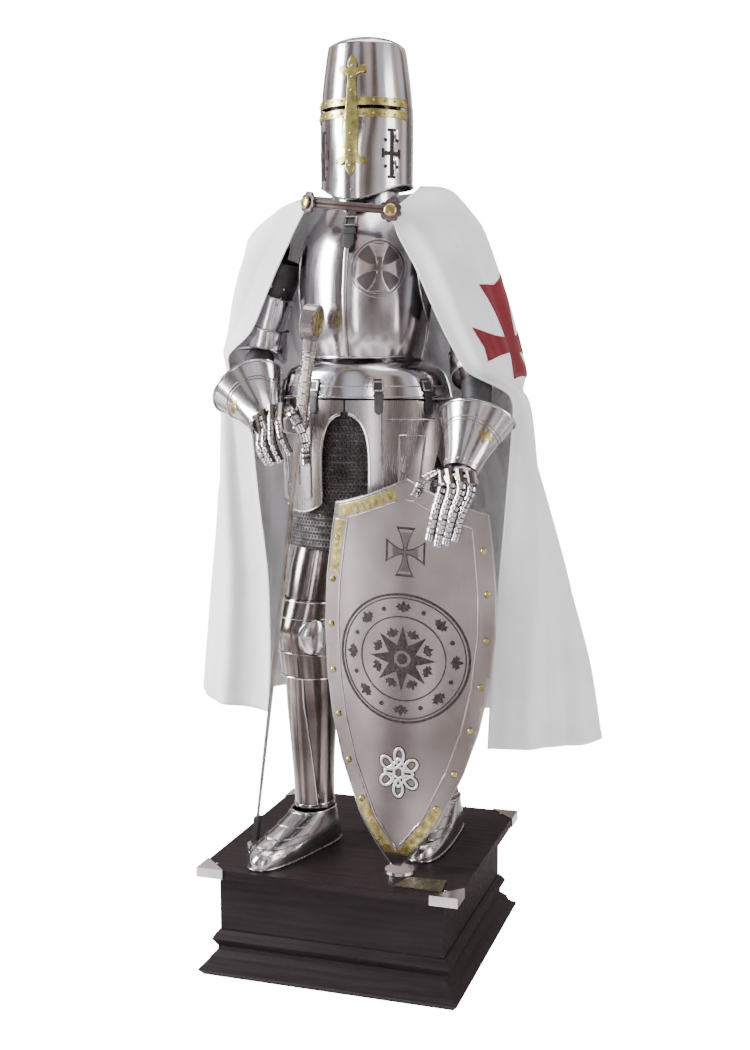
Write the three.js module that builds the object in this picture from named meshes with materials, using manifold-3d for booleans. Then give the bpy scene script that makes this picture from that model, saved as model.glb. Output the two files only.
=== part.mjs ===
// Full suit of plate armour on a display plinth: harness, mantle, sword and shield.
// Millimetres, +Z up. The origin is the middle of the plinth's underside, and the suit faces -Y,
// with its own right hand on -X. Angles called azimuths run from the front (-Y) towards +X.
import * as THREE from "three";
import { mergeVertices } from "three/addons/utils/BufferGeometryUtils.js";
import Module from "manifold-3d";

const wasm = await Module();
wasm.setup();

// ---------------------------------------------------------------- driving dimensions
const steel = 1.6; // plate
const seam = 0.5; // between two pieces that touch
const clothWall = 2;
const leatherWall = 2.5;
const plinth = { side: 600, high: 253, body: 526, board: 20, chamfer: 61, moulding: 99 };
const datum = 18; // the heights below are measured from here, at the lip of the plinth's base
const floorOfSuit = plinth.high - datum;
const joint = {
  R: {
    ankle: [-116, -36, 318], knee: [-128, -48, 742], hip: [-86, -8, 1075],
    shoulder: [-202, 0, 1600], elbow: [-266, 14, 1404], wrist: [-172, -172, 1222],
    cuffMouth: [-240, -104, 1292], knuckle: [-150, -205, 1230],
  },
  L: {
    ankle: [150, 112, 318], knee: [132, 42, 742], hip: [86, -5, 1075],
    shoulder: [202, 0, 1600], elbow: [270, -26, 1350], wrist: [276, -206, 1130],
    cuffMouth: [296, -102, 1262], knuckle: [276, -240, 1102],
  },
};
const helmAxis = { x: 3, low: 1717, slit: 1905, slitHigh: 20, shoulder: 2056 };
const swordFoot = [-231, -134, floorOfSuit + 9];
const swordTop = [-52, -200, 1490];
const shieldFoot = [132, -188, floorOfSuit + 11];
const shieldPeak = [178, -262, 1126];

// ---------------------------------------------------------------- materials
const finish = (color, roughness, metalness) => new THREE.MeshStandardMaterial({ color, roughness, metalness });
const polishedSteel = finish(0xc9cbd2, 0.18, 1);
const satinSteel = finish(0xb3a9a5, 0.38, 1);
const brass = finish(0xb5a25c, 0.35, 1);
const mailSteel = finish(0x4d4746, 0.45, 0.9);
const blackLeather = finish(0x1a1817, 0.55, 0);
const brownLeather = finish(0x6b4a3a, 0.6, 0);
const whiteWool = finish(0xe9e6e6, 0.9, 0);
const redWool = finish(0x8e1f28, 0.9, 0);
const darkWood = finish(0x33292a, 0.45, 0);

// ---------------------------------------------------------------- shared shapes
const V = (x, y, z) => new THREE.Vector3(x, y, z);
const rad = THREE.MathUtils.degToRad;
const lerp = THREE.MathUtils.lerp;
const sideNames = ["R", "L"];
const outerSign = { R: -1, L: 1 };
const valueAt = (given, t) => (typeof given === "function" ? given(t) : given);

function piece(parent, name, geometry, material) {
  const mesh = new THREE.Mesh(geometry, material);
  mesh.name = name;
  parent.add(mesh);
  return mesh;
}

function closedGeometry(points, triangles) {
  let volume = 0;
  for (const [a, b, c] of triangles) volume += points[a].dot(points[b].clone().cross(points[c]));
  const faces = volume < 0 ? triangles.map(([a, b, c]) => [a, c, b]) : triangles;
  const geometry = new THREE.BufferGeometry().setFromPoints(points);
  geometry.setIndex(faces.flat());
  geometry.computeVertexNormals();
  return geometry;
}

// A curved wall from a grid of points (rows of columns): the grid is its inner face, moved out by
// `out`, and `thick` is laid on outside it. `around` closes the columns, `cap` closes the last row.
function wallOf(grid, { thick = steel, out = 0, around = false, cap = false }) {
  const rows = grid.length;
  const cols = grid[0].length;
  const middles = grid.map((row) => row.reduce((sum, p) => sum.add(p), V(0, 0, 0)).divideScalar(cols));
  const normals = grid.map((row, r) =>
    row.map((p, c) => {
      const before = around ? row[(c + cols - 1) % cols] : row[Math.max(c - 1, 0)];
      const after = around ? row[(c + 1) % cols] : row[Math.min(c + 1, cols - 1)];
      const under = grid[Math.max(r - 1, 0)][c];
      const over = grid[Math.min(r + 1, rows - 1)][c];
      return after.clone().sub(before).cross(over.clone().sub(under)).normalize();
    }),
  );
  let facing = 0;
  grid.forEach((row, r) => row.forEach((p, c) => (facing += normals[r][c].dot(p.clone().sub(middles[r])))));
  const turn = facing < 0 ? -1 : 1;
  const points = [];
  for (const depth of [out + thick, out])
    grid.forEach((row, r) => row.forEach((p, c) => points.push(p.clone().addScaledVector(normals[r][c], turn * depth))));
  const at = (face, r, c) => face * rows * cols + r * cols + (around ? (c + cols) % cols : c);
  const triangles = [];
  const quad = (a, b, c, d) => triangles.push([a, b, c], [a, c, d]);
  const spans = around ? cols : cols - 1;
  for (let c = 0; c < spans; c++) {
    for (let r = 0; r < rows - 1; r++) {
      quad(at(0, r, c), at(0, r, c + 1), at(0, r + 1, c + 1), at(0, r + 1, c));
      quad(at(1, r, c + 1), at(1, r, c), at(1, r + 1, c), at(1, r + 1, c + 1));
    }
    quad(at(1, 0, c), at(1, 0, c + 1), at(0, 0, c + 1), at(0, 0, c));
    if (!cap) quad(at(0, rows - 1, c), at(0, rows - 1, c + 1), at(1, rows - 1, c + 1), at(1, rows - 1, c));
  }
  if (!around)
    for (let r = 0; r < rows - 1; r++) {
      quad(at(0, r, 0), at(0, r + 1, 0), at(1, r + 1, 0), at(1, r, 0));
      quad(at(1, r, cols - 1), at(1, r + 1, cols - 1), at(0, r + 1, cols - 1), at(0, r, cols - 1));
    }
  if (cap) {
    const rise = middles[rows - 1].clone().sub(middles[rows - 2]).normalize();
    for (const [face, depth] of [[0, out + thick], [1, out]]) {
      const pole = points.push(middles[rows - 1].clone().addScaledVector(rise, cap + depth)) - 1;
      for (let c = 0; c < spans; c++) {
        const [a, b] = [at(face, rows - 1, c), at(face, rows - 1, c + 1)];
        triangles.push(face ? [b, a, pole] : [a, b, pole]);
      }
    }
  }
  return closedGeometry(points, triangles);
}

// A section table's row at height z, read between its rows.
function sectionAt(table, z) {
  const above = Math.min(Math.max(table.findIndex((row) => row.z > z), 1), table.length - 1);
  const [under, over] = z >= table[table.length - 1].z ? table.slice(-2) : [table[above - 1], table[above]];
  const t = (z - under.z) / (over.z - under.z);
  const read = (key, other = 0) => lerp(under[key] ?? other, over[key] ?? other, t);
  return { x: read("x"), y: read("y"), wide: read("wide"), front: read("front"),
    back: lerp(under.back ?? under.front, over.back ?? over.front, t), ridge: read("ridge"), square: read("square", 2) };
}

function formPoint(table, azimuth, z) {
  const { x, y, wide, front, back, ridge, square } = sectionAt(table, z);
  const [s, c] = [Math.sin(rad(azimuth)), Math.cos(rad(azimuth))];
  const reach = c > 0 ? front + ridge * c ** 12 : back;
  const power = 2 / square;
  return V(x + wide * Math.sign(s) * Math.abs(s) ** power, y - reach * Math.sign(c) * Math.abs(c) ** power, z);
}

// A plate on a form: between two azimuths (which may vary up the plate, t = 0 to 1) and two edges
// (which may vary across it, s = 0 to 1). With no azimuths it goes all the way round.
function plate(table, { left, right, low, high, rows = 4, cols = 12, ...walls }) {
  const around = left === undefined;
  const grid = [];
  for (let r = 0; r <= rows; r++) {
    const t = r / rows;
    const row = [];
    for (let c = 0; c < (around ? cols : cols + 1); c++) {
      const s = c / cols;
      const azimuth = around ? 360 * s : lerp(valueAt(left, t), valueAt(right, t), s);
      row.push(formPoint(table, azimuth, lerp(valueAt(low, s), valueAt(high, s), t)));
    }
    grid.push(row);
  }
  return wallOf(grid, { around, ...walls });
}

// A group whose +Z runs from one point to another, with its -Y as near as possible to `front`.
function alongLimb(parent, from, to, front) {
  const group = new THREE.Group();
  const up = V(...to).sub(V(...from)).normalize();
  const ahead = V(...front).addScaledVector(up, -V(...front).dot(up)).normalize();
  const side = ahead.clone().negate().cross(up);
  group.setRotationFromMatrix(new THREE.Matrix4().makeBasis(side, ahead.clone().negate(), up));
  group.position.set(...from);
  parent.add(group);
  return group;
}

const span = (a, b) => V(...a).distanceTo(V(...b));

// A joint's sections, moved onto the two limbs' axes below and above it.
function followJoint(table, group, from, middle, to) {
  group.updateMatrixWorld(true);
  return table.map((row) => {
    const onLimb = V(...(row.z < 0 ? from : to)).sub(V(...middle)).setLength(Math.abs(row.z) + 1e-6);
    const { x, y } = group.worldToLocal(onLimb.add(V(...middle)));
    return { ...row, x, y };
  });
}

function bar(parent, name, [width, depth, height], place, material, turned = 0) {
  const mesh = piece(parent, name, new THREE.BoxGeometry(width, depth, height), material);
  mesh.position.set(...place);
  mesh.rotation.z = rad(turned);
  return mesh;
}

// A solid stalk through points: a round section that follows a smooth path.
function stalk(points, radius, steps = 5, sides = 8) {
  const outline = new THREE.Shape();
  for (let i = 0; i < sides; i++) {
    const a = (2 * Math.PI * i) / sides;
    outline[i ? "lineTo" : "moveTo"](radius * Math.cos(a), radius * Math.sin(a));
  }
  const extrudePath = new THREE.CatmullRomCurve3(points.map((p) => V(...p)));
  return new THREE.ExtrudeGeometry(outline, { steps, bevelEnabled: false, extrudePath });
}

function asSolid(geometry) {
  const bare = geometry.clone();
  bare.deleteAttribute("normal");
  bare.deleteAttribute("uv");
  const merged = mergeVertices(bare, 1e-3);
  return new wasm.Manifold(new wasm.Mesh({ numProp: 3, vertProperties: merged.attributes.position.array,
    triVerts: new Uint32Array(merged.index.array) }));
}

function asGeometry(solid) {
  const mesh = solid.getMesh();
  const geometry = new THREE.BufferGeometry().setAttribute("position",
    new THREE.BufferAttribute(mesh.vertProperties, 3));
  geometry.setIndex(new THREE.BufferAttribute(mesh.triVerts, 1));
  geometry.computeVertexNormals();
  return geometry;
}

const joined = (geometries) => asGeometry(geometries.map(asSolid).reduce((whole, part) => whole.add(part)));

const whole = new THREE.Group();
const suit = new THREE.Group();
suit.position.z = datum;
whole.add(suit);

// ---------------------------------------------------------------- plinth
// Square mouldings: half sides and heights of the base, read up the profile.
const baseProfile = [
  { half: 293, z: 0 }, { half: 304, z: 14 }, { half: 295, z: 20 }, { half: 287, z: 26 }, { half: 281, z: 40 },
  { half: 268, z: 52 }, { half: 268, z: 62 }, { half: 279, z: 80 }, { half: 272, z: 92 }, { half: 265, z: plinth.moulding },
];

function plinthBase() {
  const layers = baseProfile.map(({ half, z }) =>
    [[-1, -1], [1, -1], [1, 1], [-1, 1]].map(([sx, sy]) => V(sx * half, sy * half, z)));
  const points = layers.flat();
  const triangles = [];
  const top = 4 * (layers.length - 1);
  for (let r = 0; r < layers.length - 1; r++)
    for (let c = 0; c < 4; c++) {
      const [a, b] = [4 * r + c, 4 * r + ((c + 1) % 4)];
      triangles.push([a, b, b + 4], [a, b + 4, a + 4]);
    }
  triangles.push([0, 2, 1], [0, 3, 2], [top, top + 1, top + 2], [top, top + 2, top + 3]);
  return closedGeometry(points, triangles);
}

function flatShape(corners, thick) {
  const shape = new THREE.Shape(corners.map(([x, y]) => new THREE.Vector2(x, y)));
  return new THREE.ExtrudeGeometry(shape, { depth: thick, bevelEnabled: false });
}

function makePlinth() {
  const half = plinth.side / 2;
  const cut = half - plinth.chamfer;
  piece(whole, "plinth_base", plinthBase(), darkWood);
  const bodyHigh = plinth.high - plinth.board - plinth.moulding - 2 * seam;
  bar(whole, "plinth_body", [plinth.body, plinth.body, bodyHigh], [0, 0, plinth.moulding + seam + bodyHigh / 2], darkWood);
  const board = [[cut, -half], [half, -cut], [half, cut], [cut, half], [-cut, half], [-half, cut], [-half, -cut], [-cut, -half]];
  piece(suit, "plinth_board", flatShape(board, plinth.board), darkWood).position.z = floorOfSuit - plinth.board;
  const inset = seam * 2;
  const cap = [[half + 3, -half - 3], [half + 3, -cut - inset], [half, -cut - inset], [cut + inset, -half], [cut + inset, -half - 3]];
  for (let corner = 0; corner < 4; corner++) {
    const mesh = piece(suit, "corner_cap_" + (corner + 1), flatShape(cap, plinth.board + 2), polishedSteel);
    mesh.rotation.z = rad(90 * corner);
    mesh.position.z = floorOfSuit - plinth.board;
  }
  const nameplate = [[152, -272], [260, -275], [254, -208], [168, -214]];
  piece(suit, "plaque", flatShape(nameplate, 2), brass).position.z = floorOfSuit + seam;
}

// ---------------------------------------------------------------- legs
const footForm = [
  { z: 0.5, wide: 51, front: 240, back: 68, square: 2.8 },
  { z: 24, wide: 52, front: 239, back: 70, square: 2.8 },
  { z: 40, wide: 51, front: 220, back: 70, square: 2.6 },
  { z: 56, wide: 48, front: 165, back: 68, square: 2.4 },
  { z: 72, wide: 46, front: 104, back: 62, square: 2.2 },
  { z: 86, wide: 46, front: 62, back: 56, square: 2 },
];
const shinForm = [
  { z: 6, wide: 44, front: 49, back: 48, ridge: 3 },
  { z: 60, wide: 44, front: 48, back: 50, ridge: 4 },
  { z: 150, wide: 49, front: 50, back: 62, ridge: 5 },
  { z: 250, wide: 56, front: 54, back: 74, ridge: 5 },
  { z: 340, wide: 56, front: 56, back: 68, ridge: 4 },
  { z: 400, wide: 54, front: 58, back: 60, ridge: 3 },
];
const kneeForm = [
  { z: -108, wide: 65, front: 67, back: 62 },
  { z: -50, wide: 66, front: 72, back: 62 },
  { z: 0, wide: 68, front: 84, back: 64 },
  { z: 45, wide: 69, front: 76, back: 64 },
  { z: 80, wide: 66, front: 72, back: 64 },
];
const thighForm = [
  { z: 22, wide: 58, front: 62, back: 60 },
  { z: 90, wide: 61, front: 65, back: 62 },
  { z: 150, wide: 65, front: 66, back: 68 },
  { z: 220, wide: 57, front: 57, back: 66 },
];

function makeLeg(side, { ground, turned }) {
  const { ankle, knee, hip } = joint[side];
  const inner = -outerSign[side];
  const heading = [Math.sin(rad(turned)), -Math.cos(rad(turned)), 0];
  const foot = new THREE.Group();
  foot.position.set(...ground, floorOfSuit);
  foot.rotation.z = rad(turned);
  suit.add(foot);
  piece(foot, "sabaton_" + side, plate(footForm, { low: 0.5, high: 86, rows: 6, cols: 20 }), polishedSteel);

  const shin = alongLimb(suit, ankle, knee, heading);
  const innerSeam = (t) => inner * lerp(46, 20, Math.min(1, t * 1.6));
  const seamOpen = inner * 3;
  piece(shin, "greave_front_" + side, plate(shinForm, { left: -150 * inner, right: innerSeam, low: 13, high: 396,
    rows: 6, cols: 12 }), polishedSteel);
  piece(shin, "greave_back_" + side, plate(shinForm, { left: (t) => innerSeam(t) + seamOpen, right: 207 * inner,
    low: 13, high: 396, rows: 6, cols: 10 }), satinSteel);

  const bend = alongLimb(suit, knee, V(...knee).add(V(...hip)).sub(V(...ankle)).toArray(), heading);
  const kneeSections = followJoint(kneeForm, bend, ankle, knee, hip);
  piece(bend, "poleyn_" + side, plate(kneeSections, { left: -118, right: 118, low: -106, high: 78, rows: 5, cols: 12 }),
    satinSteel);

  const thigh = alongLimb(suit, knee, hip, heading);
  piece(thigh, "cuisse_" + side, plate(thighForm, { left: -140, right: 140, low: 24, high: 214, rows: 3, cols: 12 }),
    polishedSteel);
}

// ---------------------------------------------------------------- body
const chestForm = [
  { z: 1374, wide: 133, front: 130, back: 113, ridge: 4 },
  { z: 1400, wide: 141, front: 140, back: 118, ridge: 6 },
  { z: 1450, wide: 147, front: 147, back: 125, ridge: 8 },
  { z: 1520, wide: 150, front: 148, back: 130, ridge: 8 },
  { z: 1590, wide: 150, front: 140, back: 130, ridge: 6 },
  { z: 1640, wide: 138, front: 124, back: 120, ridge: 4 },
  { z: 1682, wide: 110, front: 102, back: 98 },
  { z: 1704, wide: 92, front: 88, back: 86 },
];
const skirtForm = [
  { z: 1030, wide: 194, front: 152, back: 146 },
  { z: 1160, wide: 199, front: 154, back: 148 },
  { z: 1286, wide: 201, front: 151, back: 147 },
  { z: 1314, wide: 195, front: 148, back: 142 },
  { z: 1342, wide: 184, front: 142, back: 133 },
  { z: 1356, wide: 165, front: 133, back: 120 },
  { z: 1370, wide: 126, front: 119, back: 104 },
  { z: 1384, wide: 123, front: 115, back: 101 },
];
const mailForm = [
  { z: 942, wide: 178, front: 128, back: 124 },
  { z: 1100, wide: 178, front: 134, back: 128 },
  { z: 1280, wide: 172, front: 132, back: 126 },
];
const collarForm = [
  { z: 1688, wide: 86, front: 82, back: 80 },
  { z: 1712, wide: 80, front: 78, back: 76 },
  { z: 1744, wide: 75, front: 74, back: 72 },
];
const archTop = 0.87;

// Half angle of a breast or back plate up its height: a deep armhole between waist and shoulder strap.
const armholeEdge = (t) => (t > 0.93 ? 87 : 87 - 20 * Math.sin(Math.PI * Math.max(0, (t - 0.25) / 0.75)) ** 0.8);

function makeBody() {
  const chest = { low: 1374, high: 1704, rows: 10, cols: 16 };
  piece(suit, "breastplate", plate(chestForm, { left: (t) => -armholeEdge(t), right: armholeEdge, ...chest }), polishedSteel);
  piece(suit, "backplate", plate(chestForm, { left: (t) => 180 - armholeEdge(t), right: (t) => 180 + armholeEdge(t),
    ...chest, cols: 12 }), polishedSteel);
  const waist = { low: 1286, high: 1384, rows: 7 };
  piece(suit, "fauld", plate(skirtForm, { left: -88, right: 88, cols: 16, ...waist }), polishedSteel);
  piece(suit, "culet", plate(skirtForm, { left: 92, right: 268, cols: 12, ...waist }), polishedSteel);
  const arch = (t) => (t < archTop ? 0.5 + 16 * (1 - (t / archTop) ** 5) ** 0.5 : 0.5);
  const tassetOut = (t) => 60 + 26 * t ** 1.5;
  const hipDrop = (s) => 1120 + 60 * (2 * s - 1) ** 2;
  for (const side of sideNames) {
    const sign = outerSign[side];
    piece(suit, "tasset_" + side, plate(skirtForm, { left: (t) => sign * arch(t), right: (t) => sign * tassetOut(t),
      low: (s) => 1052 - 22 * Math.sin(Math.PI * s ** 0.8), high: 1282, rows: 10, cols: 8 }), satinSteel);
    piece(suit, "hip_plate_" + side, plate(skirtForm, { left: sign * 66, right: sign * 116, low: hipDrop, high: 1280,
      rows: 3, cols: 6, out: -7 }), satinSteel);
  }
  piece(suit, "mail_skirt", plate(mailForm, { low: 944, high: 1278, rows: 3, cols: 24, thick: 3 }), mailSteel);
  piece(suit, "gorget", plate(collarForm, { low: 1688, high: 1744, rows: 2, cols: 18 }), polishedSteel);
}

// ---------------------------------------------------------------- helm
const helmForm = [
  { z: 1717, wide: 101, front: 104, back: 110, ridge: 9 },
  { z: 1840, wide: 102, front: 105, back: 111, ridge: 7 },
  { z: 1905, wide: 102, front: 105, back: 112 },
  { z: 1950, wide: 100, front: 103, back: 110 },
  { z: 2000, wide: 94, front: 97, back: 104 },
  { z: 2056, wide: 86, front: 89, back: 95 },
  { z: 2068, wide: 66, front: 68, back: 72 },
  { z: 2075, wide: 38, front: 39, back: 41 },
].map((row) => ({ x: helmAxis.x, ...row }));
const slitReach = 64; // azimuth where each eye slit ends

function makeHelm() {
  const helm = new THREE.Group();
  suit.add(helm);
  const slitTop = helmAxis.slit + helmAxis.slitHigh;
  const chin = (s) => 1754 - 37 * Math.max(0, Math.cos(rad(360 * s))) ** 3;
  const rows = [slitTop, 1950, 2000, 2040, 2056, 2068, 2075].map((z) =>
    Array.from({ length: 24 }, (_, c) => formPoint(helmForm, 15 * c, z)));
  piece(helm, "helm_skull", wallOf(rows, { around: true, cap: 5 }), polishedSteel);
  const brow = (s) => {
    const azimuth = Math.min(360 * s, 360 - 360 * s);
    return azimuth > slitReach ? slitTop - seam : helmAxis.slit;
  };
  const face = plate(helmForm, { low: chin, high: brow, rows: 5, cols: 48 });
  piece(helm, "helm_face", asGeometry(breathSlots(asSolid(face))), polishedSteel);
  const bands = [[slitTop + 1, slitTop + 16], [helmAxis.slit - 16, helmAxis.slit - 1]].map(([low, high]) =>
    plate(helmForm, { left: -72, right: 72, low, high, rows: 1, cols: 20, thick: 1.4, out: steel + seam }));
  const flare = (t) => 4 + 8 * Math.abs(2 * t - 1) ** 6;
  const upright = plate(helmForm, { left: (t) => -flare(t), right: flare, low: 1770, high: 2024, rows: 12, cols: 4,
    thick: 3, out: steel + seam });
  piece(helm, "helm_cross", joined([upright, ...bands]), brass);
}

// Cross-shaped breaths on both cheeks of the face plate, with flared ends.
function breathSlots(faceSolid) {
  const tall = 46;
  const across = 18;
  const pinch = 3;
  const flared = 6;
  const arm = (x, y) => [[-flared, y], [-pinch, pinch], [-x, flared], [-x, -flared], [-pinch, -pinch], [-flared, -y],
    [flared, -y], [pinch, -pinch], [x, -flared], [x, flared], [pinch, pinch], [flared, y]];
  let cut = faceSolid;
  for (const azimuth of [-50, 50]) {
    const cutter = flatShape(arm(across, tall), 60);
    cutter.rotateX(Math.PI / 2);
    cutter.translate(0, -70, 1818);
    cutter.rotateZ(rad(azimuth));
    cutter.translate(helmAxis.x, 0, 0);
    cut = cut.subtract(asSolid(cutter));
  }
  return cut;
}

// ---------------------------------------------------------------- arms
const sleeveForm = [
  { z: 0, wide: 50, front: 50 }, { z: 40, wide: 50, front: 50 }, { z: 80, wide: 43, front: 43 }, { z: 190, wide: 40, front: 40 },
];
const pauldronForm = [
  { z: -52, wide: 59, front: 60 }, { z: 0, wide: 60, front: 61 }, { z: 32, wide: 50, front: 52 }, { z: 50, wide: 30, front: 32 },
];
const upperArmForm = [
  { z: 36, wide: 50, front: 52 }, { z: 80, wide: 49, front: 49 }, { z: 122, wide: 48, front: 48 },
];
const elbowForm = (size) => [
  { z: -30, wide: 63 * size, front: 63 * size }, { z: 0, wide: 64 * size, front: 65 * size },
  { z: 28, wide: 59 * size, front: 60 * size }, { z: 46, wide: 54 * size, front: 55 * size },
];
const cuffLength = 142;
const cuffForm = [
  { z: 3, wide: 36, front: 30 }, { z: 40, wide: 42, front: 36, back: 34 }, { z: 85, wide: 58, front: 52, back: 38 },
  { z: 142, wide: 86, front: 76, back: 43 },
];
const handForm = [{ z: -2, wide: 34, front: 22 }, { z: 30, wide: 40, front: 24 }, { z: 52, wide: 43, front: 22 }];
// Fingers from the index to the little one, then the thumb: knuckle, middle joint and tip.
const fingers = {
  R: {
    index: [[-131, -210, 1233], [-117, -229, 1202], [-101, -226, 1168]],
    middle: [[-149, -210, 1226], [-138, -231, 1190], [-121, -229, 1152]],
    ring: [[-166, -205, 1218], [-158, -226, 1182], [-141, -223, 1146]],
    little: [[-181, -196, 1208], [-176, -212, 1176], [-160, -208, 1146]],
    thumb: [[-98, -222, 1254], [-66, -232, 1206], [-60, -232, 1146]],
  },
  L: {
    index: [[252, -260, 1104], [242, -274, 1060], [229, -275, 1000]],
    middle: [[272, -260, 1104], [261, -274, 1056], [247, -274, 988]],
    ring: [[293, -257, 1104], [280, -272, 1058], [264, -272, 992]],
    little: [[313, -252, 1100], [300, -266, 1062], [283, -269, 1000]],
    thumb: [[236, -236, 1132], [214, -268, 1122], [200, -284, 1092]],
  },
};
const backOfHand = { R: [-0.4, -0.1, 0.91], L: [-0.1, -0.85, 0.5] };
const frontOfCuff = { R: [-0.13, -0.81, 0.58], L: [-0.1, -0.85, 0.5] };

function makeArm(side) {
  const { shoulder, elbow, wrist, cuffMouth, knuckle } = joint[side];
  const sign = outerSign[side];
  const upper = alongLimb(suit, elbow, shoulder, V(...wrist).sub(V(...elbow)).toArray());
  const reach = span(elbow, shoulder);
  piece(upper, "rerebrace_" + side, plate(upperArmForm, { low: 38, high: 122, rows: 2, cols: 16 }), polishedSteel);
  piece(upper, "couter_" + side, plate(elbowForm(side === "R" ? 1 : 0.92), { low: (s) => -30 + 36 * Math.max(0, Math.cos(2 * Math.PI * s)),
    high: 46, rows: 4, cols: 18, out: 4 }),
    polishedSteel);
  const hanging = alongLimb(suit, shoulder, elbow, [0, -1, 0]);
  piece(hanging, "arming_sleeve_" + side, plate(sleeveForm, { low: 4, high: reach - 52, rows: 4, cols: 14, thick: leatherWall }),
    blackLeather);
  const cap = alongLimb(suit, shoulder, V(...shoulder).multiplyScalar(2).sub(V(...elbow)).toArray(), [0, -1, 0]);
  piece(cap, "pauldron_" + side, plate(pauldronForm, { left: sign * 12, right: sign * 168, low: -52, high: 50,
    rows: 4, cols: 10 }), polishedSteel);
  const fore = alongLimb(suit, elbow, wrist, [0, -1, 0.3]);
  fore.updateMatrixWorld(true);
  const rim = V(...wrist).lerp(V(...cuffMouth), cuffLength / span(wrist, cuffMouth));
  const mouth = fore.worldToLocal(rim);
  const forearm = [{ z: 30, wide: 34, front: 34 }, { z: mouth.z, x: mouth.x, y: mouth.y, wide: 26, front: 26 },
    { z: span(elbow, wrist), wide: 26, front: 24 }];
  piece(fore, "vambrace_" + side, plate(forearm, { low: 46, high: mouth.z + 40, rows: 3, cols: 14, thick: leatherWall }),
    blackLeather);
  const cuff = alongLimb(suit, wrist, cuffMouth, frontOfCuff[side]);
  piece(cuff, "gauntlet_cuff_" + side, plate(cuffForm, { low: 9, high: cuffLength,
    rows: 4, cols: 18 }), polishedSteel);
  const hand = alongLimb(suit, wrist, knuckle, backOfHand[side]);
  hand.updateMatrixWorld(true);
  const palm = span(wrist, knuckle) - 8;
  const backPlate = plate(handForm, { left: -96, right: 96, low: (s) => 16 + 9 * Math.sin(Math.PI * s), high: palm,
    rows: 2, cols: 10, out: -3 });
  const stalks = Object.entries(fingers[side]).map(([name, path], i) => {
    const azimuth = name === "thumb" ? -80 : lerp(-50, 50, i / 3);
    const root = formPoint(handForm, -sign * azimuth, name === "thumb" ? 28 : palm - 3);
    return stalk([hand.localToWorld(root).toArray(), ...path], name === "thumb" ? 10 : 9.5);
  });
  piece(suit, "gauntlet_hand_" + side, joined([backPlate.applyMatrix4(hand.matrixWorld), ...stalks]), polishedSteel);
}

// ---------------------------------------------------------------- sword
function makeSword() {
  const length = span(swordFoot, swordTop);
  const sword = alongLimb(suit, swordFoot, swordTop, [1, 0, 0]);
  const capEnd = 66;
  const guardAt = 985;
  const gripEnd = 1158;
  const disc = new THREE.CylinderGeometry(18, 20, 8, 24).rotateX(Math.PI / 2);
  piece(suit, "sword_foot", disc, polishedSteel).position.set(swordFoot[0], swordFoot[1], floorOfSuit + seam + 4);
  bar(sword, "sword_tip_cap", [22, 12, capEnd - 1], [0, 0, 1 + capEnd / 2], blackLeather);
  const tip = { half: 10, thick: 2.5 };
  const shoulderOf = { half: 20, thick: 3.2 };
  const ends = [[capEnd + 1, tip], [guardAt - 1, shoulderOf]];
  const points = ends.flatMap(([z, { half, thick }]) => [V(half, 0, z), V(0, thick, z), V(-half, 0, z), V(0, -thick, z)]);
  const sides = [0, 1, 2, 3].flatMap((i) => {
    const j = (i + 1) % 4;
    return [[i, j, j + 4], [i, j + 4, i + 4]];
  });
  piece(sword, "sword_blade", closedGeometry(points, [...sides, [0, 2, 1], [0, 3, 2], [4, 5, 6], [4, 6, 7]]), polishedSteel);
  const guard = new THREE.BoxGeometry(60, 14, 12).translate(0, 0, guardAt + 6);
  const grip = new THREE.CylinderGeometry(13, 14, gripEnd - guardAt, 12).rotateX(Math.PI / 2)
    .translate(0, 0, (guardAt + 2 + gripEnd) / 2);
  piece(sword, "sword_hilt", joined([guard, grip]), brass);
  const wheel = new THREE.CylinderGeometry(40, 40, 26, 24).translate(0, 0, length - 40);
  const neck = new THREE.CylinderGeometry(16, 16, length - 75 - gripEnd, 16).rotateX(Math.PI / 2)
    .translate(0, 0, (gripEnd + 4 + length - 75) / 2);
  piece(sword, "sword_pommel", joined([wheel, neck]), satinSteel);
}

// ---------------------------------------------------------------- shield
// Half widths up the shield from its point to its shoulders.
const shieldOutline = [
  { z: 0, wide: 5 }, { z: 55, wide: 50 }, { z: 110, wide: 87 }, { z: 232, wide: 138 }, { z: 330, wide: 166 },
  { z: 430, wide: 183 }, { z: 540, wide: 191 }, { z: 640, wide: 189 }, { z: 740, wide: 178 }, { z: 812, wide: 168 },
  { z: 900, wide: 162 },
];
const shield = { shoulder: 812, peak: 880, bulge: 46, widest: 191, thick: 3 };

function makeShield() {
  const group = alongLimb(suit, shieldFoot, shieldPeak, [0, -1, 0]);
  const rows = 12;
  const cols = 14;
  const grid = [];
  for (let r = 0; r <= rows; r++)
    grid.push(Array.from({ length: cols + 1 }, (_, c) => {
      const s = (2 * c) / cols - 1;
      const top = shield.shoulder + (shield.peak - shield.shoulder) * (1 - Math.abs(s)) ** 1.2;
      const z = 6 + (top - 6) * (r / rows);
      const x = s * sectionAt(shieldOutline, z).wide;
      return V(x, shield.bulge * (x / shield.widest) ** 2, z);
    }));
  piece(group, "shield", wallOf(grid, { thick: shield.thick }), satinSteel);
  const disc = new THREE.CylinderGeometry(33, 35, 6, 28).rotateX(Math.PI / 2);
  piece(suit, "shield_foot", disc, polishedSteel).position.set(shieldFoot[0] + 6, shieldFoot[1] + 6, floorOfSuit + seam + 3);
}

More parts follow.
